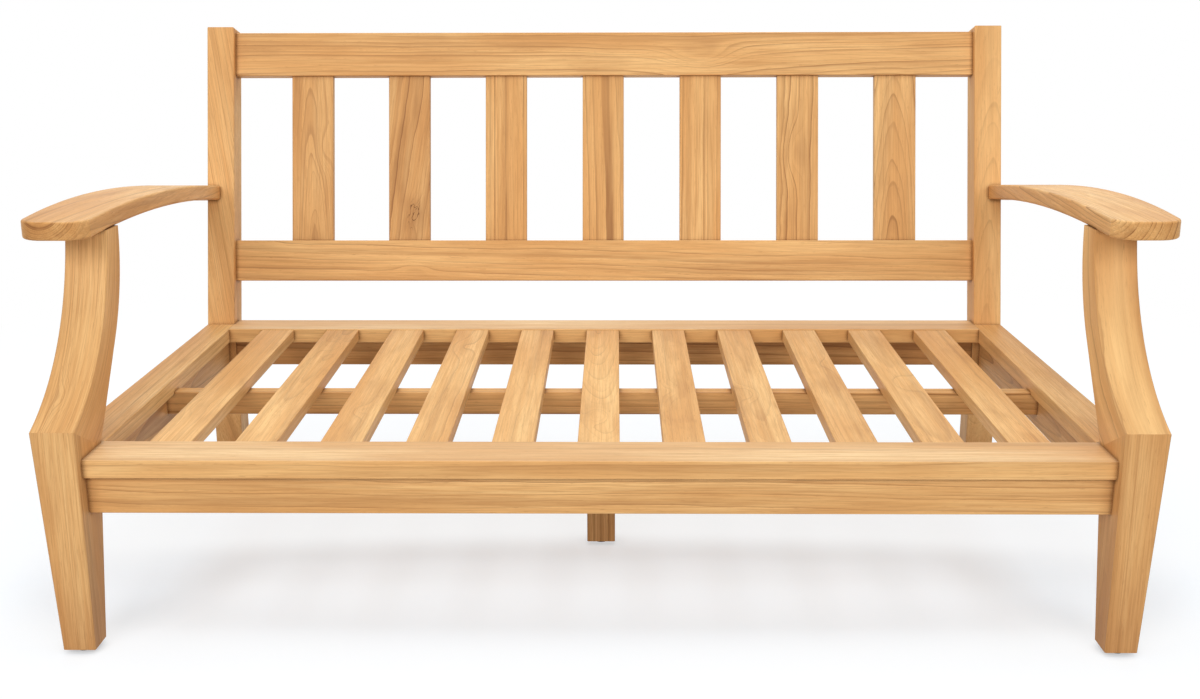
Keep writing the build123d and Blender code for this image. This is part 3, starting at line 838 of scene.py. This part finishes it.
@dataclass
class SeatDeck:
    """The deck: caps round the opening, aprons under them, slats and their beam."""

    timber: Timber
    slat_count: int = 11
    # The long caps carry painted sheen on their tops.
    long_cap: Look = Look(tone=-0.06, ring_contrast=0.4, streaks=0.75, top_sheen=1.0)
    side_cap: Look = Look(tone=-0.04, ring_contrast=0.45, streaks=0.8, blotch=0.25)
    apron: Look = Look(ring_contrast=0.75, streaks=0.9, wander=8 * MM, ring_width=5.5 * MM)
    side_apron: Look = Look(Sawn.FLAT, 0.06, ring_contrast=0.6, blotch=0.3)
    # Painted shade: the back apron is made darker, for the shadow that falls on it under the deck.
    shaded_back_apron: Look = replace(apron, tone=0.22)

    def dress(self) -> None:
        """Dress the caps, the aprons, the beam and the slats."""
        for name in ("seat_cap_front", "seat_cap_back"):
            self.timber.dress(name, X_AXIS, Y_AXIS, self.long_cap)
        for name in ("seat_cap_left", "seat_cap_right"):
            self.timber.dress(name, Y_AXIS, X_AXIS, self.side_cap)
        self.timber.dress("apron_front", X_AXIS, Z_AXIS, self.apron)
        self.timber.dress("centre_beam", X_AXIS, Z_AXIS, self.apron)
        self.timber.dress("apron_back", X_AXIS, Z_AXIS, self.shaded_back_apron)
        for name in ("apron_left", "apron_right"):
            self.timber.dress(name, Y_AXIS, Z_AXIS, self.side_apron)
        for number in range(1, self.slat_count + 1):
            name = f"seat_slat_{number:02d}"
            self.timber.dress(name, Y_AXIS, X_AXIS, self._slat(name, number))

    def _slat(self, name: str, number: int) -> Look:
        """Draw how one seat slat looks: the middle one is pale with a crown figure.

        Args:
            name: The slat's name, which seeds the draw.
            number: Its number from the left.

        Returns:
            The slat's look.
        """
        draw = random.Random(name)
        is_middle = number == (self.slat_count + 1) // 2
        return Look(
            Sawn.CROWN if is_middle else draw.choice((Sawn.RIFT, Sawn.QUARTER, Sawn.FLAT)),
            tone=-0.06 if is_middle else draw.uniform(-0.05, 0.02),
            ring_width=draw.uniform(4.5, 8.0) * MM,
            ring_contrast=0.34,
            blotch=draw.uniform(0.2, 0.5),
            wiggle=draw.uniform(0.5, 1.8) * MM,
            flip=draw.random() < 0.5,
            knot=Knot(draw.uniform(-0.2, 0.2), draw.uniform(-0.015, 0.015), draw.uniform(14, 24) * MM),
        )


@dataclass
class ArmSupports:
    """Front legs, the curved posts on their knees, the arms, and the centre leg."""

    timber: Timber
    leg: Look = Look(Sawn.QUARTER, 0.1, 3.2 * MM, 0.34, 0.85, wander=3 * MM)
    left_post: Look = Look(
        Sawn.QUARTER, 0.09, 4.4 * MM, 0.45, 0.8, wander=4 * MM, wiggle=0.9 * MM, bow=POST_BOW,
        knot=Knot(-0.085, 0.0, 12 * MM),
    )
    right_post: Look = Look(
        Sawn.RIFT, 0.0, 22 * MM, 0.5, 0.32, wander=9 * MM, wiggle=3.6 * MM, flip=True, bow=POST_BOW
    )
    left_arm: Look = Look(Sawn.FLAT, 0.06, 4.2 * MM, 0.45, blotch=0.35, wander=6 * MM)
    right_arm: Look = Look(Sawn.LEANING, 0.02, 5.6 * MM, 0.75, blotch=0.15, wander=3 * MM)
    post_lean_deg: float = 38.1
    # Painted shade: the centre leg's darker tone stands in for the shadow under the seat.
    centre_leg: Look = Look(Sawn.RIFT, 0.2, 4.6 * MM, 0.8)

    def dress(self) -> None:
        """Dress the legs, the arm posts, the arms and the centre leg."""
        lean = math.radians(self.post_lean_deg)
        chord = Vector((0, math.sin(lean), math.cos(lean)))
        for side, post, arm in (
            ("left", self.left_post, self.left_arm),
            ("right", self.right_post, self.right_arm),
        ):
            self.timber.dress(f"front_leg_{side}", Z_AXIS, X_AXIS, self.leg)
            self.timber.dress(f"arm_post_{side}", chord, X_AXIS, post)
            self.timber.dress(f"arm_{side}", Y_AXIS, X_AXIS, arm)
        self.timber.dress("centre_leg", Z_AXIS, X_AXIS, self.centre_leg)


class Wear(GroupKit):
    """Handling wear: a colour that turns dull in soft patches."""

    DETAIL = 3.0
    PATCHES = (0.42, 0.72)

    def __init__(self) -> None:
        """Wire the wear."""
        super().__init__(
            "handling_wear",
            {"Clean": (0.5, 0.5, 0.5, 1.0), "Worn": (0.4, 0.4, 0.4, 1.0), "Scale": 150.0, "Amount": 0.6},
            {"Color": "NodeSocketColor", "Mask": "NodeSocketFloat"},
        )
        graph, given = self.graph, self.inputs
        patches = graph.node("ShaderNodeTexNoise")
        graph.feed(patches.inputs["Vector"], graph.spot())
        graph.feed(patches.inputs["Scale"], given["Scale"])
        patches.inputs["Detail"].default_value = self.DETAIL
        mask = graph.product(graph.step(patches.outputs["Fac"], *self.PATCHES), given["Amount"])
        self.put_out("Color", graph.mix(mask, given["Clean"], given["Worn"]))
        self.put_out("Mask", mask)


@dataclass(frozen=True)
class MouldedPlastic:
    """Black moulded polyamide with a fine spark texture."""

    clean: ScreenColour = (38, 37, 36)
    worn: ScreenColour = (86, 82, 77)
    patches_per_metre: float = 190.0
    roughness: tuple[float, float] = (0.44, 0.7)
    grit_per_metre: Triple = (2600.0, 2600.0, 2600.0)
    bump: float = 0.35
    bump_depth: float = 0.1 * MM

    def material(self, wear: Wear) -> Material:
        """Make the glides' material.

        Args:
            wear: The handling wear group.

        Returns:
            The material.
        """
        graph = MaterialGraph("moulded_glide")
        colours = {"Clean": shade(*self.clean), "Worn": shade(*self.worn)}
        worn = wear.place(graph, colours | {"Scale": self.patches_per_metre}).outputs
        graph.give("Base Color", worn["Color"])
        graph.give("Roughness", graph.step(worn["Mask"], 0.0, 1.0, *self.roughness))
        grit = graph.noise(graph.spot(), self.grit_per_metre).outputs["Fac"]
        graph.bump(grit, self.bump, self.bump_depth)
        return graph.material


@dataclass(frozen=True)
class BrushedSteel:
    """Stainless steel with fine turned marks."""

    clean: ScreenColour = (198, 198, 196)
    worn: ScreenColour = (162, 159, 153)
    patches_per_metre: float = 130.0
    marks_per_metre: Triple = (900.0, 900.0, 5200.0)
    marks_detail: float = 3.0
    marks_range: tuple[float, float] = (0.25, 0.75)
    roughness: tuple[float, float] = (0.24, 0.4)
    worn_roughness: float = 0.15
    bump: float = 0.2
    bump_depth: float = 0.05 * MM

    def material(self, wear: Wear) -> Material:
        """Make the fasteners' material.

        Args:
            wear: The handling wear group.

        Returns:
            The material.
        """
        graph = MaterialGraph("brushed_fastener")
        colours = {"Clean": shade(*self.clean), "Worn": shade(*self.worn)}
        worn = wear.place(graph, colours | {"Scale": self.patches_per_metre}).outputs
        graph.give("Base Color", worn["Color"])
        graph.give("Metallic", 1.0)
        marks = graph.noise(graph.spot(), self.marks_per_metre, self.marks_detail).outputs["Fac"]
        rough = graph.step(marks, *self.marks_range, *self.roughness)
        graph.give("Roughness", graph.math("MULTIPLY_ADD", worn["Mask"], self.worn_roughness, rough))
        graph.bump(marks, self.bump, self.bump_depth)
        return graph.material


@dataclass(frozen=True)
class TurnedDowel:
    """Pale beech dowels, which lie hidden in their joints."""

    pale: ScreenColour = (222, 186, 142)
    brown: ScreenColour = (186, 140, 96)
    fleck_per_metre: Triple = (700.0, 700.0, 160.0)
    fleck_detail: float = 3.0
    brown_range: tuple[float, float] = (0.4, 0.7)
    rough_range: tuple[float, float] = (0.2, 0.8)
    roughness: tuple[float, float] = (0.5, 0.7)

    def material(self) -> Material:
        """Make the dowels' material.

        Returns:
            The material.
        """
        graph = MaterialGraph("turned_dowel")
        fleck = graph.noise(graph.spot(), self.fleck_per_metre, self.fleck_detail).outputs["Fac"]
        brown = graph.step(fleck, *self.brown_range)
        graph.give("Base Color", graph.mix(brown, shade(*self.pale), shade(*self.brown)))
        graph.give("Roughness", graph.step(fleck, *self.rough_range, *self.roughness))
        return graph.material


@dataclass(frozen=True)
class Collar:
    """One ring of a turned shape: its radius, round or by angle, and its height on the axis."""

    radius: float | Callable[[float], float]
    height: float

    def points(self, place: Matrix, steps: int) -> list[Vector]:
        """Space points evenly round the axis.

        Args:
            place: The axis, as the matrix that stands its Z axis in the scene.
            steps: How many points.

        Returns:
            The ring's points.
        """
        made = []
        for step in range(steps):
            angle = math.tau * step / steps
            radius = self.radius(angle) if callable(self.radius) else self.radius
            made.append(place @ Vector((radius * math.cos(angle), radius * math.sin(angle), self.height)))
        return made


def turned(shares: Profile, radius: float, length: float) -> list[Collar]:
    """Return round collars, whose radii and heights are shares of a radius and of a length."""
    return [Collar(radius * across, length * along) for across, along in shares]


def lobed(radius: float, lobes: int, depth: float) -> Callable[[float], float]:
    """Return the radius by angle of a round with lobes, whose depth is a share of the mean radius."""
    return lambda angle: radius * (1 + depth * math.cos(lobes * angle))


def hexagonal(apothem: float, limit: float) -> Callable[[float], float]:
    """Return the radius by angle of a hexagon with corners on the X axis, cut to a circle's radius."""
    side = math.pi / 3
    return lambda angle: min(apothem / math.cos(angle % side - side / 2), limit)


def thread(shares: Sequence[float], radius: float, length: float) -> list[Collar]:
    """Wind a screw thread round an axis.

    Args:
        shares: Core, crest and pitch as shares of the radius, then both ends as shares of the length.
        radius: The piece's radius.
        length: The piece's length.

    Returns:
        The thread's rings.
    """
    core, crest, pitch = (radius * share for share in shares[:3])
    start, end = (length * share for share in shares[3:])
    count = round((end - start) / pitch * THREAD_STEPS)

    def ridge(height: float, angle: float) -> float:
        """Return the radius at a height and an angle."""
        phase = (height / pitch - angle / math.tau) % 1.0
        return core + (crest - core) * max(0.0, 1 - abs(2 * phase - 1) * THREAD_SHARPNESS)

    heights = [start + (end - start) * step / count for step in range(count + 1)]
    return [Collar(partial(ridge, height), height) for height in heights]


@dataclass
class Turning:
    """One mesh piece, made of shapes that are turned round axes."""

    name: str
    steps: int = 48
    shape: bmesh.types.BMesh = field(default_factory=bmesh.new)
    crease_deg: float = 34.0

    def add(self, collars: Sequence[Collar], place: Matrix, closes: bool = False) -> None:
        """Skin a stack of collars.

        Args:
            collars: The rings, in order along the profile.
            place: The axis of the shape.
            closes: Whether the profile closes on itself, as a washer's does; else the ends are capped.
        """
        rows = [
            [self.shape.verts.new(point) for point in collar.points(place, self.steps)]
            for collar in collars
        ]
        pairs = list(zip(rows, rows[1:]))
        if closes:
            pairs.append((rows[-1], rows[0]))
        for low, high in pairs:
            for step in range(self.steps):
                after = (step + 1) % self.steps
                self.shape.faces.new((low[step], low[after], high[after], high[step]))
        if not closes:
            self.shape.faces.new(reversed(rows[0]))
            self.shape.faces.new(rows[-1])

    def finish(self, material: Material, slot: str, *replaced: str) -> None:
        """Close the mesh, shade it, and let the piece ride on the body.

        Args:
            material: The piece's material.
            slot: Not used.
            *replaced: The CAD nodes that the piece stands for.
        """
        bmesh.ops.recalc_face_normals(self.shape, faces=self.shape.faces)
        for face in self.shape.faces:
            face.smooth = True
        crease = math.radians(self.crease_deg)
        for edge in self.shape.edges:
            edge.smooth = edge.calc_face_angle(0.0) < crease
        mesh = bpy.data.meshes.new(self.name)
        self.shape.to_mesh(mesh)
        self.shape.free()
        mesh.materials.append(material)
        piece = bpy.data.objects.new(self.name, mesh)
        bpy.context.scene.collection.objects.link(piece)
        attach(piece, BODY)
        if replaced:
            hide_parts(*replaced)
        LOG.info("built %s", self.name)


@dataclass
class Glides:
    """Moulded glides under the feet, each held by a steel nail in its recess."""

    plastic: Material
    steel: Material
    feet: tuple[tuple[str, str], ...] = (
        ("glide_front_left", "front_leg_left"),
        ("glide_front_right", "front_leg_right"),
        ("glide_rear_left", "back_post_left"),
        ("glide_rear_right", "back_post_right"),
        ("glide_centre", "centre_leg"),
    )
    rim_shares: Profile = (
        (0.42, 0.30), (0.46, 0.04), (0.52, 0.0), (0.93, 0.0), (0.98, 0.03), (1.0, 0.1), (1.0, 0.52),
        (0.95, 0.57), (0.95, 0.65), (1.0, 0.70), (1.0, 0.90), (0.96, 0.98), (0.90, 1.0), (0.30, 1.0),
    )
    nail_shares: Profile = ((0.08, 0.08), (0.24, 0.12), (0.34, 0.2), (0.37, 0.3))
    nail_steps: int = 32
    barb_count: int = 5
    barb_shares: Profile = ((0.245, 0.1), (0.19, 1.0))
    stem_tip_share: float = 0.1

    def build(self) -> None:
        """Build every glide and its nail."""
        for node, foot in self.feet:
            low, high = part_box(node)
            radius = (high.x - low.x) / 2
            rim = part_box(foot)[0].z
            place = Matrix.Translation(((low.x + high.x) / 2, (low.y + high.y) / 2, low.z))
            body = Turning(f"{node}_moulded")
            body.add(self._body(radius, rim, high.z - low.z), place)
            body.finish(self.plastic, "glide_plastic", node)
            nail = Turning(f"{node}_nail", steps=self.nail_steps)
            nail.add(turned(self.nail_shares, radius, rim), place)
            nail.finish(self.steel, "stainless")

    def _body(self, radius: float, rim: float, top: float) -> list[Collar]:
        """Draw a glide's profile, from its recess over the rim to the barbed stem.

        Args:
            radius: The disc's radius.
            rim: The disc's height.
            top: The stem's top.

        Returns:
            The profile's rings.
        """
        collars = turned(self.rim_shares, radius, rim)
        pitch = (top - rim) / (self.barb_count + 1)
        for barb in range(self.barb_count):
            foot = rim + pitch * barb
            collars += [Collar(radius * across, foot + pitch * up) for across, up in self.barb_shares]
        collars.append(Collar(radius * self.stem_tip_share, top))
        return collars


@dataclass
class Fasteners:
    """Slat screws, and the carriage bolt, washer and nut of the centre leg."""

    steel: Material
    slat_count: int = 11
    screw_steps: int = 24
    recess_lobes: int = 6
    lobe_share: float = 0.15
    recess_shares: Profile = ((0.3, 0.36), (0.34, 0.03))
    head_shares: Profile = (
        (0.46, 0.0), (0.76, 0.0), (0.93, 0.07), (1.0, 0.24),
        (1.0, 0.42), (0.92, 0.54), (0.56, 0.625), (0.44, 0.7),
    )
    screw_thread_shares: tuple[float, ...] = (0.34, 0.49, 0.6, 0.36, 0.94)
    screw_tip_share: float = 0.06
    dome_shares: Profile = (
        (0.04, 0.03), (0.28, 0.04), (0.46, 0.075), (0.49, 0.1), (0.52, 0.085), (0.72, 0.15),
        (0.87, 0.24), (0.97, 0.33), (1.0, 0.41), (0.97, 0.4375), (0.375, 0.4375),
    )
    shank_shares: Profile = ((0.37, 0.61),)
    bolt_thread_shares: tuple[float, ...] = (0.31, 0.37, 0.13, 0.62, 0.97)
    bolt_end_shares: Profile = ((0.26, 1.0),)
    washer_shares: Profile = (
        (0.41, 0.0), (0.97, 0.0), (1.0, 0.1), (1.0, 0.65), (0.97, 0.9),
        (0.93, 1.0), (0.46, 1.0), (0.41, 0.9), (0.39, 0.7), (0.39, 0.1),
    )
    corner_shares: Profile = (
        (0.97, 0.0), (1.05, 0.07), (1.16, 0.17), (1.16, 0.83), (1.05, 0.93), (0.97, 1.0),
    )
    bore_share: float = 0.62
    bore_shares: Profile = ((1.12, 1.0), (1.0, 0.9), (1.0, 0.1), (1.12, 0.0))

    def build(self) -> None:
        """Build all the fasteners."""
        self._screws()
        self._bolt()
        self._washer()
        self._nut()

    def _screws(self) -> None:
        """Build the screws that hold the slats down, with a lobed recess under each head."""
        low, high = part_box("slat_screws")
        radius = (high.y - low.y) / 2
        length = high.z - low.z
        recess = [
            Collar(lobed(radius * across, self.recess_lobes, self.lobe_share), radius * up)
            for across, up in self.recess_shares
        ]
        head = turned(self.head_shares, radius, radius)
        grip = thread(self.screw_thread_shares, radius, length)
        tip = Collar(radius * self.screw_tip_share, length)
        screws = Turning("slat_screws_threaded", steps=self.screw_steps)
        middle_number = (self.slat_count + 1) // 2
        for number in range(1, self.slat_count + 1):
            if number != middle_number:
                place = (middle(f"seat_slat_{number:02d}").x, (low.y + high.y) / 2, low.z)
                screws.add([*recess, *head, *grip, tip], Matrix.Translation(place))
        screws.finish(self.steel, "stainless", "slat_screws")

    def _turn(self, node: str, ending: str, collars: Sequence[Collar], closes: bool = False) -> None:
        """Turn a piece round the bolt's axis, in place of a CAD node.

        Args:
            node: The CAD node.
            ending: What the piece's name adds to the node's.
            collars: The rings, from the node's front backwards.
            closes: Whether the profile closes on itself.
        """
        low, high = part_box(node)
        front = Matrix.Translation(((low.x + high.x) / 2, low.y, (low.z + high.z) / 2))
        piece = Turning(f"{node}_{ending}")
        piece.add(collars, front @ Matrix.Rotation(math.radians(-90), 4, "X"), closes)
        piece.finish(self.steel, "stainless", node)

    def _bolt(self) -> None:
        """Build the carriage bolt: a domed head with a turned ring, and a threaded end."""
        low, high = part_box("centre_bolt")
        radius = (high.x - low.x) / 2
        length = high.y - low.y
        collars = turned(self.dome_shares, radius, radius)
        collars += turned(self.shank_shares, radius, length)
        collars += thread(self.bolt_thread_shares, radius, length)
        collars += turned(self.bolt_end_shares, radius, length)
        self._turn("centre_bolt", "carriage", collars)

    def _washer(self) -> None:
        """Build the pressed washer, with one rounded and one sharp side."""
        low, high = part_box("centre_washer")
        collars = turned(self.washer_shares, (high.x - low.x) / 2, high.y - low.y)
        self._turn("centre_washer", "pressed", collars, closes=True)

    def _nut(self) -> None:
        """Build the hexagonal nut, with chamfered corners and a countersunk bore."""
        low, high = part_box("centre_nut")
        apothem = (high.z - low.z) / 2
        thickness = high.y - low.y
        outside = [
            Collar(hexagonal(apothem, apothem * limit), thickness * along)
            for limit, along in self.corner_shares
        ]
        inside = turned(self.bore_shares, apothem * self.bore_share, thickness)
        self._turn("centre_nut", "chamfered", [*outside, *inside], closes=True)


@dataclass(frozen=True)
class Lamp:
    """A soft oblong lamp, unseen by the camera: width and height in metres, power in watts."""

    name: str
    place: Triple
    target: Triple
    size: tuple[float, float]
    power: float
    tint: Triple

    def hang(self) -> None:
        """Hang the lamp and point it at its target."""
        data = bpy.data.lights.new(self.name, "AREA")
        data.shape = "RECTANGLE"
        data.size, data.size_y = self.size
        data.energy = self.power
        data.color = self.tint
        lamp = bpy.data.objects.new(self.name, data)
        lamp.visible_camera = False
        lamp.location = self.place
        aim = Vector(self.target) - Vector(self.place)
        lamp.rotation_euler = aim.to_track_quat("-Z", "Y").to_euler()
        bpy.context.scene.collection.objects.link(lamp)


@dataclass
class Studio:
    """Camera, lamps and the pale floor."""

    lens_mm: float = 42.0
    sensor_mm: float = 36.0
    pitch_deg: float = 14.763
    yaw_deg: float = -0.668
    roll_deg: float = 0.138
    camera_x: float = 0.0223
    camera_before_legs: float = 1.637
    camera_height: float = 0.8379
    floor_size: float = 60.0
    floor_roughness: float = 0.9
    shadow_middle: Triple = (0.0, -0.25, 0.0)
    shadow_reach: Triple = (0.88, 0.17, 1.0)
    shadow_edge: tuple[float, float] = (0.7, 1.3)
    shadow_fade: float = 0.65
    ground_near: float = 1.0
    ground_far: float = 2.0
    floor_glow: float = 0.3
    contact_reach: tuple[float, float] = (0.012, 0.034)
    contact_glow: float = 0.6
    floor_white: ScreenColour = (222, 230, 239)
    floor_bounce: ScreenColour = (206, 209, 212)
    sky_light: float = 0.42
    lamps: tuple[Lamp, ...] = (
        Lamp("overhead", (0.0, -0.1, 3.2), (0.0, 0.0, 0.2), (2.6, 2.6), 45.0, COOL),
        Lamp("behind", (0.0, 2.4, 2.7), (0.0, 0.0, 0.25), (3.4, 1.7), 38.0, COOL),
        Lamp("front_left", (-2.0, -4.3, 2.5), (0.0, 0.0, 0.3), (2.6, 2.0), 90.0, WARM),
        Lamp("front_right", (2.2, -4.3, 2.4), (0.0, 0.0, 0.3), (2.4, 2.0), 62.0, WARM),
    )

    def build(self) -> None:
        """Set the camera, the world, the lamps and the floor."""
        self._camera()
        self._world()
        for lamp in self.lamps:
            lamp.hang()
        self._floor()

    def _camera(self) -> None:
        """Stand the camera where the photograph's perspective puts it."""
        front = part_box("front_leg_right")[0].y
        data = bpy.data.cameras.new("camera")
        data.lens = self.lens_mm
        data.sensor_width = self.sensor_mm
        camera = bpy.data.objects.new("camera", data)
        bpy.context.scene.collection.objects.link(camera)
        place = Vector((self.camera_x, front - self.camera_before_legs, self.camera_height))
        turn = (
            Matrix.Rotation(math.radians(-self.yaw_deg), 4, "Z")
            @ Matrix.Rotation(math.radians(90 - self.pitch_deg), 4, "X")
            @ Matrix.Rotation(math.radians(-self.roll_deg), 4, "Z")
        )
        camera.matrix_world = Matrix.Translation(place) @ turn
        bpy.context.scene.camera = camera

    def _world(self) -> None:
        """Light the scene evenly, and show plain white to the camera."""
        world = bpy.data.worlds.new("studio")
        bpy.context.scene.world = world
        world.use_nodes = True
        graph = Graph(world.node_tree)
        sky = world.node_tree.nodes["Background"]
        sky.inputs["Color"].default_value = WHITE
        strength = graph.math("MULTIPLY_ADD", self._seen(graph), 1.0 - self.sky_light, self.sky_light)
        graph.feed(sky.inputs["Strength"], strength)

    @staticmethod
    def _seen(graph: Graph) -> Socket:
        """Tell the rays that show the ground to the eye, straight, mirrored or through glass.

        Args:
            graph: The nodes to add it to.

        Returns:
            1 for these rays, and 0 for others.
        """
        path = graph.node("ShaderNodeLightPath").outputs
        mirrored = graph.math("MAXIMUM", path["Is Glossy Ray"], path["Is Transmission Ray"])
        return graph.math("MAXIMUM", path["Is Camera Ray"], mirrored)

    def _floor(self) -> None:
        """Lay a wide pale floor that keeps the object's shadow."""
        mesh = bpy.data.meshes.new("floor")
        half = self.floor_size / 2
        corners = [(-half, -half, 0.0), (half, -half, 0.0), (half, half, 0.0), (-half, half, 0.0)]
        mesh.from_pydata(corners, [], [(0, 1, 2, 3)])
        floor = bpy.data.objects.new("floor", mesh)
        bpy.context.scene.collection.objects.link(floor)
        mesh.materials.append(self._floor_material())

    def _floor_material(self) -> Material:
        """Make matt white near the object, which turns into the plain white ground further out.

        Returns:
            The material.
        """
        graph = MaterialGraph("floor_white")
        graph.give("Roughness", self.floor_roughness)
        graph.give("Specular IOR Level", 0.0)
        graph.give("Emission Color", WHITE)
        seen = self._seen(graph)
        place = graph.spot()
        pool = graph.vector("SUBTRACT", place, self.shadow_middle).outputs[0]
        pool = graph.vector("DIVIDE", pool, self.shadow_reach).outputs[0]
        edge = graph.vector("LENGTH", pool).outputs["Value"]
        edge = graph.step(edge, *self.shadow_edge, 0.0, self.shadow_fade)
        reach = graph.vector("LENGTH", place).outputs["Value"]
        bare = graph.math("MAXIMUM", edge, graph.step(reach, self.ground_near, self.ground_far))
        clear = self._clear_of_feet(graph, place)
        bare = graph.product(bare, clear)
        fade = graph.mix(bare, shade(*self.floor_white), BLACK)
        graph.give("Base Color", graph.mix(seen, shade(*self.floor_bounce), fade))
        glow = graph.product(clear, self.floor_glow)
        glow = graph.math("MULTIPLY_ADD", bare, 1.0 - self.floor_glow, glow)
        graph.give("Emission Strength", graph.product(seen, glow))
        return graph.material

    def _clear_of_feet(self, graph: Graph, place: Socket) -> Socket:
        """Keep the contact shadow under the feet.

        Args:
            graph: The floor's nodes.
            place: The place on the floor.

        Returns:
            A low share under the feet, and 1 away from them.
        """
        nearest: Socket | float = self.floor_size
        for side in ("front_left", "front_right", "rear_left", "rear_right"):
            foot = middle(f"glide_{side}")
            foot.z = 0.0
            away = graph.vector("DISTANCE", place, foot).outputs["Value"]
            nearest = graph.math("MINIMUM", away, nearest)
        return graph.step(nearest, *self.contact_reach, self.contact_glow, 1.0)


def main() -> None:
    """Load the frame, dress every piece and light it."""
    logging.basicConfig(level=logging.INFO, format="%(name)s: %(message)s")
    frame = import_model()
    nodes = frame["nodes"]
    bpy.context.scene.view_settings.view_transform = "Standard"
    Studio().build()
    timber = Timber(TeakFinish(), TeakFigure(), PaintedShade(), nodes)
    ReclinedBack(timber).dress()
    SeatDeck(timber).dress()
    ArmSupports(timber).dress()
    wear = Wear()
    plastic = MouldedPlastic().material(wear)
    steel = BrushedSteel().material(wear)
    dress_all(nodes, [name for name in nodes if name.startswith("glide_")], plastic)
    dress_all(nodes, ("slat_screws", "centre_bolt", "centre_washer", "centre_nut"), steel)
    Glides(plastic, steel).build()
    Fasteners(steel).build()
    dowels = TurnedDowel().material()
    dress_all(nodes, ("arm_dowels", "cap_dowels", "knee_dowels"), dowels)


if __name__ == "__main__":
    main()
